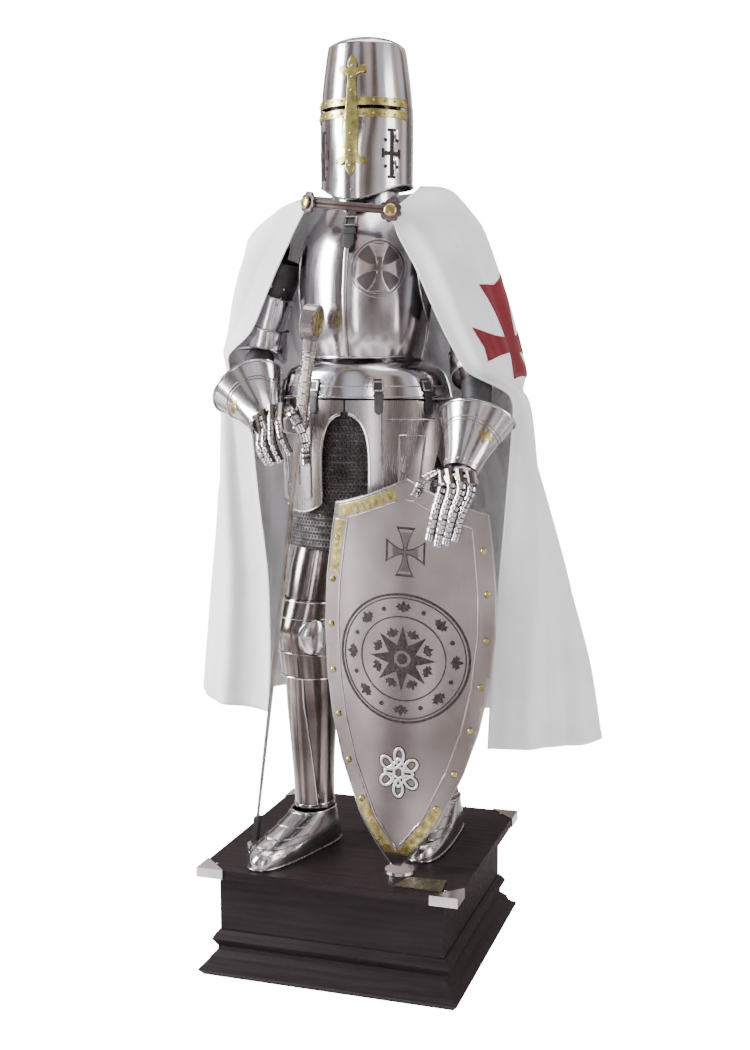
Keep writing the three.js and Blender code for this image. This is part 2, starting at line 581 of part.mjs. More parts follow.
// ---------------------------------------------------------------- mantle
// Each row of the cloth from its right front edge, round the back, to its left front edge.
const mantleRows = [
  { edgeR: [-92, -128, 1704], sideR: [-128, -12, 1738], back: [0, 132, 1750], sideL: [132, -12, 1752], edgeL: [102, -128, 1688], fold: 0 },
  { edgeR: [-125, -118, 1655], sideR: [-198, 0, 1716], back: [0, 158, 1700], sideL: [196, 0, 1742], edgeL: [112, -126, 1640], fold: 2 },
  { edgeR: [-170, -106, 1570], sideR: [-278, 8, 1650], back: [0, 182, 1600], sideL: [270, 6, 1662], edgeL: [152, -126, 1568], fold: 4 },
  { edgeR: [-246, -76, 1437], sideR: [-312, 24, 1515], back: [0, 198, 1480], sideL: [310, 15, 1520], edgeL: [200, -122, 1462], fold: 6 },
  { edgeR: [-316, -48, 1380], sideR: [-345, 46, 1395], back: [0, 206, 1390], sideL: [340, 18, 1400], edgeL: [236, -118, 1392], fold: 8 },
  { edgeR: [-336, 4, 1335], sideR: [-360, 64, 1345], back: [0, 210, 1340], sideL: [352, 20, 1345], edgeL: [270, -116, 1342], fold: 8 },
  { edgeR: [-322, 34, 1290], sideR: [-378, 70, 1290], back: [0, 214, 1290], sideL: [366, 26, 1290], edgeL: [346, -52, 1292], fold: 9 },
  { edgeR: [-296, 26, 1214], sideR: [-388, 72, 1214], back: [0, 220, 1214], sideL: [382, 30, 1214], edgeL: [346, -24, 1214], fold: 11 },
  { edgeR: [-272, 14, 1040], sideR: [-408, 72, 1050], back: [0, 232, 1040], sideL: [420, 36, 1040], edgeL: [338, -40, 1040], fold: 15 },
  { edgeR: [-246, 4, 860], sideR: [-426, 70, 880], back: [0, 244, 860], sideL: [462, 44, 860], edgeL: [328, -60, 860], fold: 19 },
  { edgeR: [-240, 0, 680], sideR: [-442, 68, 715], back: [0, 254, 680], sideL: [504, 52, 685], edgeL: [318, -74, 680], fold: 22 },
  { edgeR: [-245, 0, 524], sideR: [-457, 66, 566], back: [0, 262, 512], sideL: [540, 60, 524], edgeL: [312, -80, 503], fold: 25 },
];
const panelCuts = { front_R: [0, 0.36], back: [0.36, 0.64], front_L: [0.64, 1] };
const folds = 9;

const mantleCurves = mantleRows.map(({ edgeR, sideR, back, sideL, edgeL }) => {
  const quarter = (side, t) => [side[0] * 0.72, lerp(side[1], back[1], t), lerp(side[2], back[2], 0.55)];
  const bay = (edge, side) => [lerp(edge[0], side[0], 0.8), lerp(edge[1], side[1], 0.32), lerp(edge[2], side[2], 0.5)];
  const points = [edgeR, bay(edgeR, sideR), sideR, quarter(sideR, 0.72), back, quarter(sideL, 0.72), sideL, bay(edgeL, sideL), edgeL];
  return new THREE.CatmullRomCurve3(points.map((p) => V(...p)), false, "centripetal");
});

// A point of the cloth: `across` from the right front edge to the left one, `row` down the table.
function mantlePoint(across, row) {
  const under = Math.min(Math.floor(row), mantleRows.length - 2);
  const t = row - under;
  const onRow = (i) => {
    const point = mantleCurves[i].getPointAt(across);
    const ahead = mantleCurves[i].getTangentAt(across);
    const swell = mantleRows[i].fold * Math.sin(2 * Math.PI * folds * across + 0.6) * Math.sin(Math.PI * across) ** 0.5;
    return point.add(V(ahead.y, -ahead.x, 0).normalize().multiplyScalar(swell));
  };
  return onRow(under).lerp(onRow(under + 1), t);
}

function makeMantle() {
  for (const [name, [from, to]] of Object.entries(panelCuts)) {
    const cols = name === "back" ? 20 : 24;
    const grid = mantleRows.map((_, row) => {
      const gap = (seam * (to < 1 ? 1 : 0)) / mantleCurves[row].getLength();
      return Array.from({ length: cols + 1 }, (_, c) => mantlePoint(lerp(from, to - gap, c / cols), row));
    });
    piece(suit, "mantle_" + name, wallOf(grid, { thick: clothWall, out: -clothWall / 2 }), whiteWool);
  }
}

// ---------------------------------------------------------------- clasp and badge of the mantle
const rosettes = { R: [-85, -138, 1711], L: [100, -138, 1688] };
const badge = { across: 0.87, row: 3.75, halfAcross: 0.075, halfRow: 1.05, waist: 0.16, end: 0.42 };

function makeClasp() {
  for (const side of sideNames) {
    const boss = new THREE.CylinderGeometry(25, 18, 8, 20);
    piece(suit, "rosette_" + side, boss, polishedSteel).position.set(...rosettes[side]);
  }
  const route = [[-56, -142, 1707], [8, -152, 1699], [72, -142, 1692]];
  const grid = route.map(([x, y, z]) => [V(x, y, z + 9), V(x, y, z - 9)]);
  piece(suit, "clasp_strap", wallOf(grid, { thick: leatherWall, out: -leatherWall / 2 }), brownLeather);
  const arm = (upright) =>
    Array.from({ length: 13 }, (_, i) => {
      const along = i / 6 - 1;
      const half = lerp(badge.waist, badge.end, Math.abs(along) ** 1.6);
      return [-1, -0.6, -0.2, 0.2, 0.6, 1].map((side) => {
        const [x, y] = upright ? [side * half, along] : [along, side * half];
        return mantlePoint(badge.across + badge.halfAcross * x, badge.row - badge.halfRow * y);
      });
    });
  const lying = { thick: 1.2, out: clothWall / 2 + 2.6 };
  piece(suit, "mantle_cross", joined([wallOf(arm(true), lying), wallOf(arm(false), lying)]), redWool);
}

makePlinth();
makeLeg("R", { ground: [-113, -50], turned: -14 });
makeLeg("L", { ground: [152, 118], turned: 3 });
makeBody();
makeHelm();
sideNames.forEach(makeArm);
makeSword();
makeShield();
makeMantle();
makeClasp();

export default whole;
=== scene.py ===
# Looks for the suit of plate armour: plinth, harness, mantle, sword and shield.
import math

import bpy
from mathutils import Matrix, Vector, noise


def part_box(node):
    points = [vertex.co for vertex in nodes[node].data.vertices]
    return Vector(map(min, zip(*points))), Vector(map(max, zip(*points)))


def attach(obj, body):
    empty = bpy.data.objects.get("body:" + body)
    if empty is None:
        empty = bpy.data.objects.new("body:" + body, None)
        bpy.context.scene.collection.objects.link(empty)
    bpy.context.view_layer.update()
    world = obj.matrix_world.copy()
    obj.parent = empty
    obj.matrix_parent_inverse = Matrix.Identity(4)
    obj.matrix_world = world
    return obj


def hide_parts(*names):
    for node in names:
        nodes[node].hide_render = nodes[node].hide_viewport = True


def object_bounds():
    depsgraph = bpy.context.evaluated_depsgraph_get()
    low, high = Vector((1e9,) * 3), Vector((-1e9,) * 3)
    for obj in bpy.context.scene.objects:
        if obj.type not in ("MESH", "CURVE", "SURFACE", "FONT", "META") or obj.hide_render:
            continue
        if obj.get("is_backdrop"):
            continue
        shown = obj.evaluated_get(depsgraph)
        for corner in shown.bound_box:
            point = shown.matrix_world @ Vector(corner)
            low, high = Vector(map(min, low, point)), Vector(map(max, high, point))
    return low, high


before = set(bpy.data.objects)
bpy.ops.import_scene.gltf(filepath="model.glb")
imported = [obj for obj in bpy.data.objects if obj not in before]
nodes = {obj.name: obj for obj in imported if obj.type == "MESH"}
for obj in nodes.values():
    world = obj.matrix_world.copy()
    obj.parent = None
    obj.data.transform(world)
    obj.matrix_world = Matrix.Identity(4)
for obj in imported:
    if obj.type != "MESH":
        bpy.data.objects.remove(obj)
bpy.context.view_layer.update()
print("frame loaded:", len(nodes), "nodes")

datum = 0.018  # heights in the tables are measured from here, as in the part


# ------- small tools
def only(piece):
    bpy.ops.object.select_all(action="DESELECT")
    piece.select_set(True)
    bpy.context.view_layer.objects.active = piece


def edit(piece):
    # opens a mesh with all of it selected
    only(piece)
    bpy.ops.object.mode_set(mode="EDIT")
    bpy.ops.mesh.select_all(action="SELECT")


def leaveEdit():
    bpy.ops.object.mode_set(mode="OBJECT")


def addObject(name, data):
    added = bpy.data.objects.new(name, data)
    bpy.context.scene.collection.objects.link(added)
    return added


def applyAll(piece):
    only(piece)
    for modifier in list(piece.modifiers):
        bpy.ops.object.modifier_apply(modifier=modifier.name)


def settle(piece):
    # puts the place in the mesh
    only(piece)
    bpy.ops.object.transform_apply(location=True, rotation=True, scale=True)


def dress(piece, material, body="suit", stands=()):
    piece.data.materials.clear()
    piece.data.materials.append(material)
    settle(piece)
    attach(piece, body)
    if stands:
        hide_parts(*stands)
    return piece


def joinAll(pieces, name):
    bpy.ops.object.select_all(action="DESELECT")
    for piece in pieces:
        piece.select_set(True)
    bpy.context.view_layer.objects.active = pieces[0]
    if len(pieces) > 1:
        bpy.ops.object.join()
    pieces[0].name = name
    return pieces[0]


# ------- materials
def startMaterial(name, color, metallic, roughness):
    material = bpy.data.materials.new(name)
    material.use_nodes = True
    shader = material.node_tree.nodes["Principled BSDF"]
    shader.inputs["Base Color"].default_value = (*color, 1)
    shader.inputs["Metallic"].default_value = metallic
    shader.inputs["Roughness"].default_value = roughness
    return material, material.node_tree, shader


def patternAt(tree, scale, detail=3.0, stretch=(1, 1, 1), kind="ShaderNodeTexNoise", coordinate="Object"):
    place = tree.nodes.new("ShaderNodeTexCoord")
    mapping = tree.nodes.new("ShaderNodeMapping")
    mapping.inputs["Scale"].default_value = stretch
    texture = tree.nodes.new(kind)
    texture.inputs["Scale"].default_value = scale
    if "Detail" in texture.inputs:
        texture.inputs["Detail"].default_value = detail
    tree.links.new(place.outputs[coordinate], mapping.inputs["Vector"])
    tree.links.new(mapping.outputs["Vector"], texture.inputs["Vector"])
    return texture


def rampFrom(tree, output, stops):
    ramp = tree.nodes.new("ShaderNodeValToRGB")
    elements = ramp.color_ramp.elements
    while len(elements) < len(stops):
        elements.new(0.5)
    for element, (position, color) in zip(elements, stops):
        element.position = position
        element.color = (*color, 1)
    tree.links.new(output, ramp.inputs["Fac"])
    return ramp.outputs["Color"]


def rangeFrom(tree, output, low, high, fromLow=0.3, fromHigh=0.7):
    spread = tree.nodes.new("ShaderNodeMapRange")
    spread.inputs["From Min"].default_value = fromLow
    spread.inputs["From Max"].default_value = fromHigh
    spread.inputs["To Min"].default_value = low
    spread.inputs["To Max"].default_value = high
    tree.links.new(output, spread.inputs["Value"])
    return spread.outputs["Result"]


def mottle(tree, shader, texture, stops):
    tree.links.new(rampFrom(tree, texture.outputs["Fac"], stops), shader.inputs["Base Color"])


def varyGloss(tree, shader, texture, low, high):
    tree.links.new(rangeFrom(tree, texture.outputs["Fac"], low, high), shader.inputs["Roughness"])


def bumpFrom(tree, shader, output, strength, distance, under=None):
    bump = tree.nodes.new("ShaderNodeBump")
    bump.inputs["Strength"].default_value = strength
    bump.inputs["Distance"].default_value = distance
    tree.links.new(output, bump.inputs["Height"])
    if under:
        tree.links.new(under, bump.inputs["Normal"])
    tree.links.new(bump.outputs["Normal"], shader.inputs["Normal"])
    return bump.outputs["Normal"]


steelLook = {"wave": 5.0, "waveDepth": 0.0011, "brush": 260.0}


def makeSteel(name, bright, dull, smooth, rough, wave=1.0):
    # rolled plate: slow waves from the hammer, fine brushing upright, a brown-grey cast in the duller patches
    material, tree, shader = startMaterial(name, bright, 1.0, smooth)
    patches = patternAt(tree, 5.0, 4.0)
    mottle(tree, shader, patches, [(0.38, dull), (0.62, bright)])
    brush = patternAt(tree, steelLook["brush"], 2.0, (1, 1, 0.03))
    varyGloss(tree, shader, brush, smooth, rough)
    waves = patternAt(tree, steelLook["wave"], 1.0)
    slow = bumpFrom(tree, shader, waves.outputs["Fac"], 0.55 * wave, steelLook["waveDepth"])
    bumpFrom(tree, shader, brush.outputs["Fac"], 0.012, 0.0001, slow)
    return material


def makeBrass(name, bright, dull):
    material, tree, shader = startMaterial(name, bright, 1.0, 0.32)
    patches = patternAt(tree, 60.0, 5.0)
    mottle(tree, shader, patches, [(0.35, dull), (0.6, bright)])
    varyGloss(tree, shader, patches, 0.42, 0.22)
    bumpFrom(tree, shader, patches.outputs["Fac"], 0.25, 0.0006)
    return material


def makeLeather(name, color, worn, roughness):
    material, tree, shader = startMaterial(name, color, 0.0, roughness)
    rub = patternAt(tree, 30.0, 5.0)
    mottle(tree, shader, rub, [(0.4, color), (0.72, worn)])
    varyGloss(tree, shader, rub, roughness + 0.08, roughness - 0.1)
    grain = patternAt(tree, 520.0, 2.0, kind="ShaderNodeTexVoronoi")
    bumpFrom(tree, shader, grain.outputs["Distance"], 0.35, 0.0004)
    return material


def makeWool(name, color, shade):
    # plain-woven wool: threads across and along from the piece's own UV map, in metres
    material, tree, shader = startMaterial(name, color, 0.0, 0.92)
    shader.inputs["Sheen Weight"].default_value = 0.15
    shader.inputs["Sheen Roughness"].default_value = 0.5
    cloud = patternAt(tree, 9.0, 4.0)
    mottle(tree, shader, cloud, [(0.3, shade), (0.65, color)])
    across = patternAt(tree, 420.0, 0.0, (1, 0, 0), "ShaderNodeTexWave", "UV")
    along = patternAt(tree, 420.0, 0.0, (0, 1, 0), "ShaderNodeTexWave", "UV")
    along.bands_direction = "Y"
    weave = tree.nodes.new("ShaderNodeMath")
    weave.operation = "MAXIMUM"
    tree.links.new(across.outputs["Fac"], weave.inputs[0])
    tree.links.new(along.outputs["Fac"], weave.inputs[1])
    fuzz = patternAt(tree, 900.0, 3.0)
    soft = bumpFrom(tree, shader, fuzz.outputs["Fac"], 0.2, 0.0005)
    bumpFrom(tree, shader, weave.outputs["Value"], 0.25, 0.0004, soft)
    return material


def makeWood(name, dark, light):
    material, tree, shader = startMaterial(name, dark, 0.0, 0.5)
    shader.inputs["Specular IOR Level"].default_value = 0.16
    grain = patternAt(tree, 14.0, 8.0, (0.35, 6, 6))
    mottle(tree, shader, grain, [(0.35, dark), (0.7, light)])
    varyGloss(tree, shader, grain, 0.42, 0.6)
    bumpFrom(tree, shader, grain.outputs["Fac"], 0.18, 0.0005)
    return material


polishedSteel = makeSteel("polished_steel", (0.7, 0.68, 0.71), (0.5, 0.46, 0.46), 0.14, 0.2)
satinSteel = makeSteel("satin_steel", (0.4, 0.36, 0.355), (0.29, 0.255, 0.245), 0.25, 0.29, 1.5)
shieldSteel = makeSteel("shield_steel", (0.38, 0.34, 0.33), (0.27, 0.238, 0.23), 0.22, 0.25, 2.6)
# leg steel: the polished steel's own gloss, its colour darkened as painted shade on the legs, the gauntlet hands and
# the ankle lames
shadedLegSteel = makeSteel("leg_steel_painted_shade", (0.27, 0.235, 0.225), (0.11, 0.09, 0.086), 0.14, 0.2, 1.5)
# bright steel for the blade, also used as painted highlight on the breast keel
bladeSteelAndHighlight = makeSteel("blade_steel_and_painted_highlight", (0.9, 0.88, 0.86), (0.78, 0.75, 0.72), 0.36, 0.46, 0.2)
# dark etched steel for etched grounds, also used as painted shadow beside the breast keel
etchedSteelAndShadow = makeSteel("etched_steel_and_painted_shadow", (0.2, 0.18, 0.185), (0.12, 0.105, 0.105), 0.34, 0.44)
# dark engraved lines; the same dark paint also stands as painted shade in the helm's breaths
engravedAndShade, engravedAndShadeTree, engravedAndShadeShader = startMaterial("engraved_line_and_painted_shade", (0.02, 0.015, 0.015), 0.0, 0.62)
engravedAndShadeShader.inputs["Specular IOR Level"].default_value = 0.15
mottle(engravedAndShadeTree, engravedAndShadeShader, patternAt(engravedAndShadeTree, 220.0, 3.0),
       [(0.4, (0.022, 0.016, 0.016)), (0.75, (0.06, 0.048, 0.046))])
giltGround = makeBrass("gilt_ground", (0.5, 0.44, 0.2), (0.26, 0.2, 0.08))
brassMetal = makeBrass("aged_brass", (0.56, 0.47, 0.17), (0.2, 0.175, 0.065))
plaqueBronze = makeBrass("plaque_bronze", (0.34, 0.32, 0.2), (0.15, 0.14, 0.085))
mailSteel, mailTree, mailShader = startMaterial("mail_rings", (0.3, 0.28, 0.27), 1.0, 0.36)
mottle(mailTree, mailShader, patternAt(mailTree, 40.0, 3.0),
       [(0.35, (0.07, 0.058, 0.054)), (0.65, (0.24, 0.215, 0.205))])
# black leather, also used for dark lines that are painted shade in the gaps of the leg plates
blackLeatherAndShade = makeLeather("black_leather", (0.018, 0.017, 0.018), (0.05, 0.045, 0.045), 0.5)
brownLeather = makeLeather("brown_leather", (0.035, 0.016, 0.016), (0.1, 0.06, 0.06), 0.45)
whiteWool = makeWool("white_wool", (0.86, 0.85, 0.86), (0.78, 0.765, 0.77))
redWool = makeWool("red_wool", (0.17, 0.0035, 0.012), (0.12, 0.0025, 0.008))
darkWood = makeWood("dark_wood", (0.0075, 0.0042, 0.0048), (0.017, 0.01, 0.0115))
print("materials made")


# ------- forms: the same section tables as the part, in millimetres from the datum
def fromDatum(values):
    return Vector((values[0], values[1], values[2])) / 1000 + Vector((0, 0, datum))


def mix(low, high, t):
    return low + (high - low) * t


def formOf(keys, *rows):
    # a section table; a row may leave out its last values
    return [dict(zip(keys.split(), row)) for row in rows]


def sectionAt(form, z):
    above = next((i for i, row in enumerate(form) if row["z"] > z), len(form) - 1)
    above = min(max(above, 1), len(form) - 1)
    under, over = form[above - 1], form[above]
    t = (z - under["z"]) / (over["z"] - under["z"])
    read = lambda key, other=0: mix(under.get(key, other), over.get(key, other), t)
    back = mix(under.get("back", under["front"]), over.get("back", over["front"]), t)
    return read("x"), read("y"), read("wide"), read("front"), back, read("ridge"), read("square", 2)


def formPoint(form, azimuth, z):
    x, y, wide, front, back, ridge, square = sectionAt(form, z)
    s, c = math.sin(math.radians(azimuth)), math.cos(math.radians(azimuth))
    reach = front + ridge * c ** 12 if c > 0 else back
    power = 2 / square
    return Vector((x + wide * math.copysign(abs(s) ** power, s), y - reach * math.copysign(abs(c) ** power, c), z))


def onForm(form, azimuth, z, lift=0.0, place=None):
    here = formPoint(form, azimuth, z)
    along = formPoint(form, azimuth + 1.5, z) - formPoint(form, azimuth - 1.5, z)
    upward = formPoint(form, azimuth, z + 4) - formPoint(form, azimuth, z - 4)
    normal = along.cross(upward).normalized()
    spot = here + normal * lift
    if place:
        spot, normal = place @ spot, place.to_3x3() @ normal
    return fromDatum(spot), normal


def trail(form, azimuths, z, lift=0.8, place=None):
    # points along a form; the height is one value, or depends on the azimuth
    return [onForm(form, azimuth, z(azimuth) if callable(z) else z, lift, place)[0] for azimuth in azimuths]


def roundSurface(form, azimuth, height, place=None):
    # x runs round the form from an azimuth, y up from a height, both in millimetres
    degree = (formPoint(form, azimuth + 1, height) - formPoint(form, azimuth - 1, height)).length / 2
    return lambda x, y, lift: onForm(form, azimuth + x / degree, height + y, lift, place)


def alongLimb(start, end, front):
    upward = (Vector(end) - Vector(start)).normalized()
    ahead = (Vector(front) - upward * Vector(front).dot(upward)).normalized()
    side = (-ahead).cross(upward)
    turn = Matrix((side, -ahead, upward)).transposed().to_4x4()
    return Matrix.Translation(Vector(start)) @ turn


# ------- ways of making
mergeWithin = 0.00001


def meshFrom(name, curve, loops, closed, rise=0.0):
    # a mesh by way of a curve through loops of points in metres, lifted by rise
    for loop in loops:
        spline = curve.splines.new("POLY")
        spline.points.add(len(loop) - 1)
        spline.use_cyclic_u = closed
        for corner, place in zip(spline.points, loop):
            corner.co = (*place, 1)
    only(addObject(name, curve))
    bpy.ops.object.convert(target="MESH")
    piece = bpy.context.object
    edit(piece)
    if rise:
        bpy.ops.transform.translate(value=(0, 0, rise))
    bpy.ops.mesh.remove_doubles(threshold=mergeWithin)
    leaveEdit()
    return piece


def box(left, low, right, high):
    return [(left, low), (right, low), (right, high), (left, high)]


def cutShape(name, loops, thick, step=0.0, soften=0.0):
    # a flat shape cut from sheet, millimetres in, with its back at z = 0; step slices it so that it can bend
    outline = bpy.data.curves.new(name, "CURVE")
    outline.dimensions = "2D"
    outline.fill_mode = "BOTH"
    outline.extrude = thick / 2000 - soften / 1000
    outline.bevel_depth = soften / 1000
    outline.offset = -soften / 1000
    outline.bevel_resolution = 1
    corners = [[(x / 1000, y / 1000, 0) for x, y in loop] for loop in loops]
    piece = meshFrom(name, outline, corners, True, thick / 2000)
    if step:
        edit(piece)
        xs = [x for loop in loops for x, y in loop]
        ys = [y for loop in loops for x, y in loop]
        for low, high, normal in ((min(xs), max(xs), (1, 0, 0)), (min(ys), max(ys), (0, 1, 0))):
            at = low + step * 0.5
            while at < high:
                bpy.ops.mesh.select_all(action="SELECT")
                bpy.ops.mesh.bisect(plane_co=[at / 1000 * value for value in normal], plane_no=normal)
                at += step
        leaveEdit()
    return piece


def layOn(piece, surface, lift):
    for vertex in piece.data.vertices:
        x, y, z = (1000 * value for value in vertex.co)
        vertex.co = surface(x, y, lift + z)[0]
    return piece


def smooth(piece, angle=40):
    only(piece)
    bpy.ops.object.shade_smooth_by_angle(angle=math.radians(angle))
    return piece


def roll(name, points, radius, material, body="suit", closed=False, sides=2):
    # a round bead along points given in metres
    path = bpy.data.curves.new(name, "CURVE")
    path.dimensions = "3D"
    path.bevel_depth = radius / 1000
    path.bevel_resolution = sides
    path.use_fill_caps = not closed
    return dress(smooth(meshFrom(name, path, [points], closed)), material, body)


def plateOn(surface, name, loops, thick, material, lift=0.0, step=9, soften=0.3):
    # a cut shape laid on a surface and finished
    return dress(smooth(layOn(cutShape(name, loops, thick, step, soften), surface, lift)), material)


def makeStud(radius, height=0.6):
    bpy.ops.object.select_all(action="DESELECT")
    bpy.ops.mesh.primitive_uv_sphere_add(segments=10, ring_count=8, radius=radius / 1000)
    stud = bpy.context.object
    edit(stud)
    bpy.ops.mesh.bisect(plane_co=(0, 0, -0.0001), plane_no=(0, 0, 1), clear_inner=True, use_fill=True)
    bpy.ops.mesh.select_all(action="SELECT")
    bpy.ops.transform.resize(value=(1, 1, height))
    leaveEdit()
    return stud


def copiesOf(model, places, name):
    copies = []
    for place in places:
        mesh = model.data.copy()
        mesh.transform(place)
        copies.append(addObject(name, mesh))
    bpy.data.objects.remove(model)
    return joinAll(copies, name)


def facing(spot, normal):
    return Matrix.Translation(spot) @ normal.to_track_quat("Z", "Y").to_matrix().to_4x4()


def studs(name, surface, spots, radius, lift, material, body="suit", height=0.6):
    places = [facing(*surface(x, y, lift)) for x, y in spots]
    return dress(smooth(copiesOf(makeStud(radius, height), places, name), 60), material, body)


def ring(radius, count=48, x=0.0, y=0.0):
    return [(x + radius * math.cos(2 * math.pi * i / count), y + radius * math.sin(2 * math.pi * i / count))
            for i in range(count)]


def patteeArms(reach, waist, end, curve=1.6, steps=8, dip=0.0):
    # a cross with four flaring arms, as one loop
    corner = waist
    loop = []
    for quarter in range(4):
        turn = math.pi / 2 * quarter
        side = []
        for i in range(steps + 1):
            along = mix(corner, reach, i / steps)
            half = mix(waist, end, ((along - corner) / (reach - corner)) ** curve)
            side.append((along, half))
        arm = [(a, -h) for a, h in side] + [(reach - dip, 0)] * (dip > 0) + [(a, h) for a, h in reversed(side)][:-1]
        loop += [(a * math.cos(turn) - h * math.sin(turn), a * math.sin(turn) + h * math.cos(turn)) for a, h in arm]
    return loop


chestForm = formOf("z wide front back ridge",
    (1374, 133, 130, 113, 4), (1400, 141, 140, 118, 6), (1450, 147, 147, 125, 8), (1520, 150, 148, 130, 8),
    (1590, 150, 140, 130, 6), (1640, 138, 124, 120, 4), (1682, 110, 102, 98), (1704, 92, 88, 86))
skirtForm = formOf("z wide front back",
    (1030, 194, 152, 146), (1160, 199, 154, 148), (1286, 201, 151, 147), (1314, 195, 148, 142),
    (1342, 184, 142, 133), (1356, 165, 133, 120), (1370, 126, 119, 104), (1384, 123, 115, 101))
mailForm = formOf("z wide front back",
    (942, 178, 128, 124), (1100, 178, 134, 128), (1280, 172, 132, 126))
helmForm = formOf("x z wide front back ridge",
    (3, 1717, 101, 104, 110, 9), (3, 1840, 102, 105, 111, 7), (3, 1905, 102, 105, 112),
    (3, 1950, 100, 103, 110), (3, 2000, 94, 97, 104), (3, 2056, 86, 89, 95), (3, 2068, 66, 68, 72),
    (3, 2075, 38, 39, 41))
print("forms and tools ready")


# ------- plates carried over from the frame, with rounded, finer walls
def finerPlate(node, material, body="suit", levels=2, sharp=50, form=None):
    piece = addObject(node + "_plate", nodes[node].data.copy())
    edit(piece)
    bpy.ops.mesh.remove_doubles(threshold=0.00005)
    bpy.ops.mesh.tris_convert_to_quads(face_threshold=math.radians(60), shape_threshold=math.radians(100))
    bpy.ops.mesh.select_all(action="DESELECT")
    bpy.ops.mesh.select_mode(type="EDGE")
    bpy.ops.mesh.edges_select_sharp(sharpness=math.radians(sharp))
    bpy.ops.transform.edge_crease(value=1)
    bpy.ops.mesh.select_mode(type="VERT")
    leaveEdit()
    if levels:
        rounder = piece.modifiers.new("rounder", "SUBSURF")
        rounder.levels = levels
        rounder.render_levels = levels
        applyAll(piece)
    if form:
        settleOnForm(piece, form)
    bpy.ops.object.shade_smooth_by_angle(angle=math.radians(40))
    return dress(piece, material, body, [node])


def settleOnForm(piece, form):
    # after rounding, each wall of the plate goes back to one even distance from its form
    spots = []
    for vertex in piece.data.vertices:
        x, y, z = 1000 * vertex.co.x, 1000 * vertex.co.y, 1000 * (vertex.co.z - datum)
        middle = sectionAt(form, z)
        wanted = math.degrees(math.atan2(x - middle[0], middle[1] - y))
        azimuth = wanted
        for _ in range(6):
            near = formPoint(form, azimuth, z)
            off = wanted - math.degrees(math.atan2(near.x - middle[0], middle[1] - near.y))
            azimuth += (off + 180) % 360 - 180
        near = formPoint(form, azimuth, z)
        outward = Vector((near.x - middle[0], near.y - middle[1], 0)).normalized()
        spots.append((vertex, near, outward, (Vector((x, y, z)) - near).dot(outward)))
    offsets = sorted(spot[3] for spot in spots)
    centre = (offsets[len(offsets) // 20] + offsets[-len(offsets) // 20]) / 2
    walls = []
    for side in (-1, 1):
        chosen = [value for value in offsets if (value - centre) * side > 0]
        walls.append(chosen[len(chosen) // 2])
    print(piece.name, "walls at", [round(value, 2) for value in walls])
    for vertex, near, outward, offset in spots:
        wall = walls[0] if offset < centre else walls[1]
        if abs(offset - wall) < 1.6:
            vertex.co = fromDatum(near + outward * wall)


# plate finishes, and painted shade: the leg steel is polished steel darkened
plateFinishAndShade = {
    "polished_steel": ["sabaton", "rerebrace", "couter", "pauldron", "gauntlet_cuff"],
    "leg_steel_painted_shade": ["greave_front", "cuisse", "greave_back", "poleyn"],
    "satin_steel": ["tasset", "hip_plate"],
    "black_leather": ["arming_sleeve", "vambrace"],
}
finishesAndShade = {"leg_steel_painted_shade": shadedLegSteel, "polished_steel": polishedSteel, "satin_steel": satinSteel,
            "black_leather": blackLeatherAndShade}
for slot, kinds in plateFinishAndShade.items():
    for kind in kinds:
        for side in ("R", "L"):
            finerPlate(f"{kind}_{side}", finishesAndShade[slot],
                       form=skirtForm if kind == "tasset" else None)
for node in ("breastplate", "backplate", "fauld", "culet", "gorget"):
    finerPlate(node, polishedSteel)
finerPlate("helm_skull", polishedSteel, "helm")
finerPlate("helm_face", polishedSteel, "helm", levels=0)
finerPlate("shield", shieldSteel)
print("plates rounded")

for node, material in {
    "sword_blade": bladeSteelAndHighlight, "sword_hilt": satinSteel, "sword_pommel": satinSteel, "sword_tip_cap": blackLeatherAndShade,
    "sword_foot": polishedSteel, "shield_foot": polishedSteel, "clasp_strap": brownLeather,
    "mail_skirt": blackLeatherAndShade,
    "plinth_base": darkWood, "plinth_body": darkWood, "plinth_board": darkWood, "plaque": plaqueBronze,
    # the hand nodes take the leg steel, darkened as painted shade
    "gauntlet_hand_R": shadedLegSteel, "gauntlet_hand_L": shadedLegSteel,
    **{f"corner_cap_{i}": polishedSteel for i in (1, 2, 3, 4)},
}.items():
    nodes[node].data.materials.clear()
    nodes[node].data.materials.append(material)
print("carried-over nodes painted")


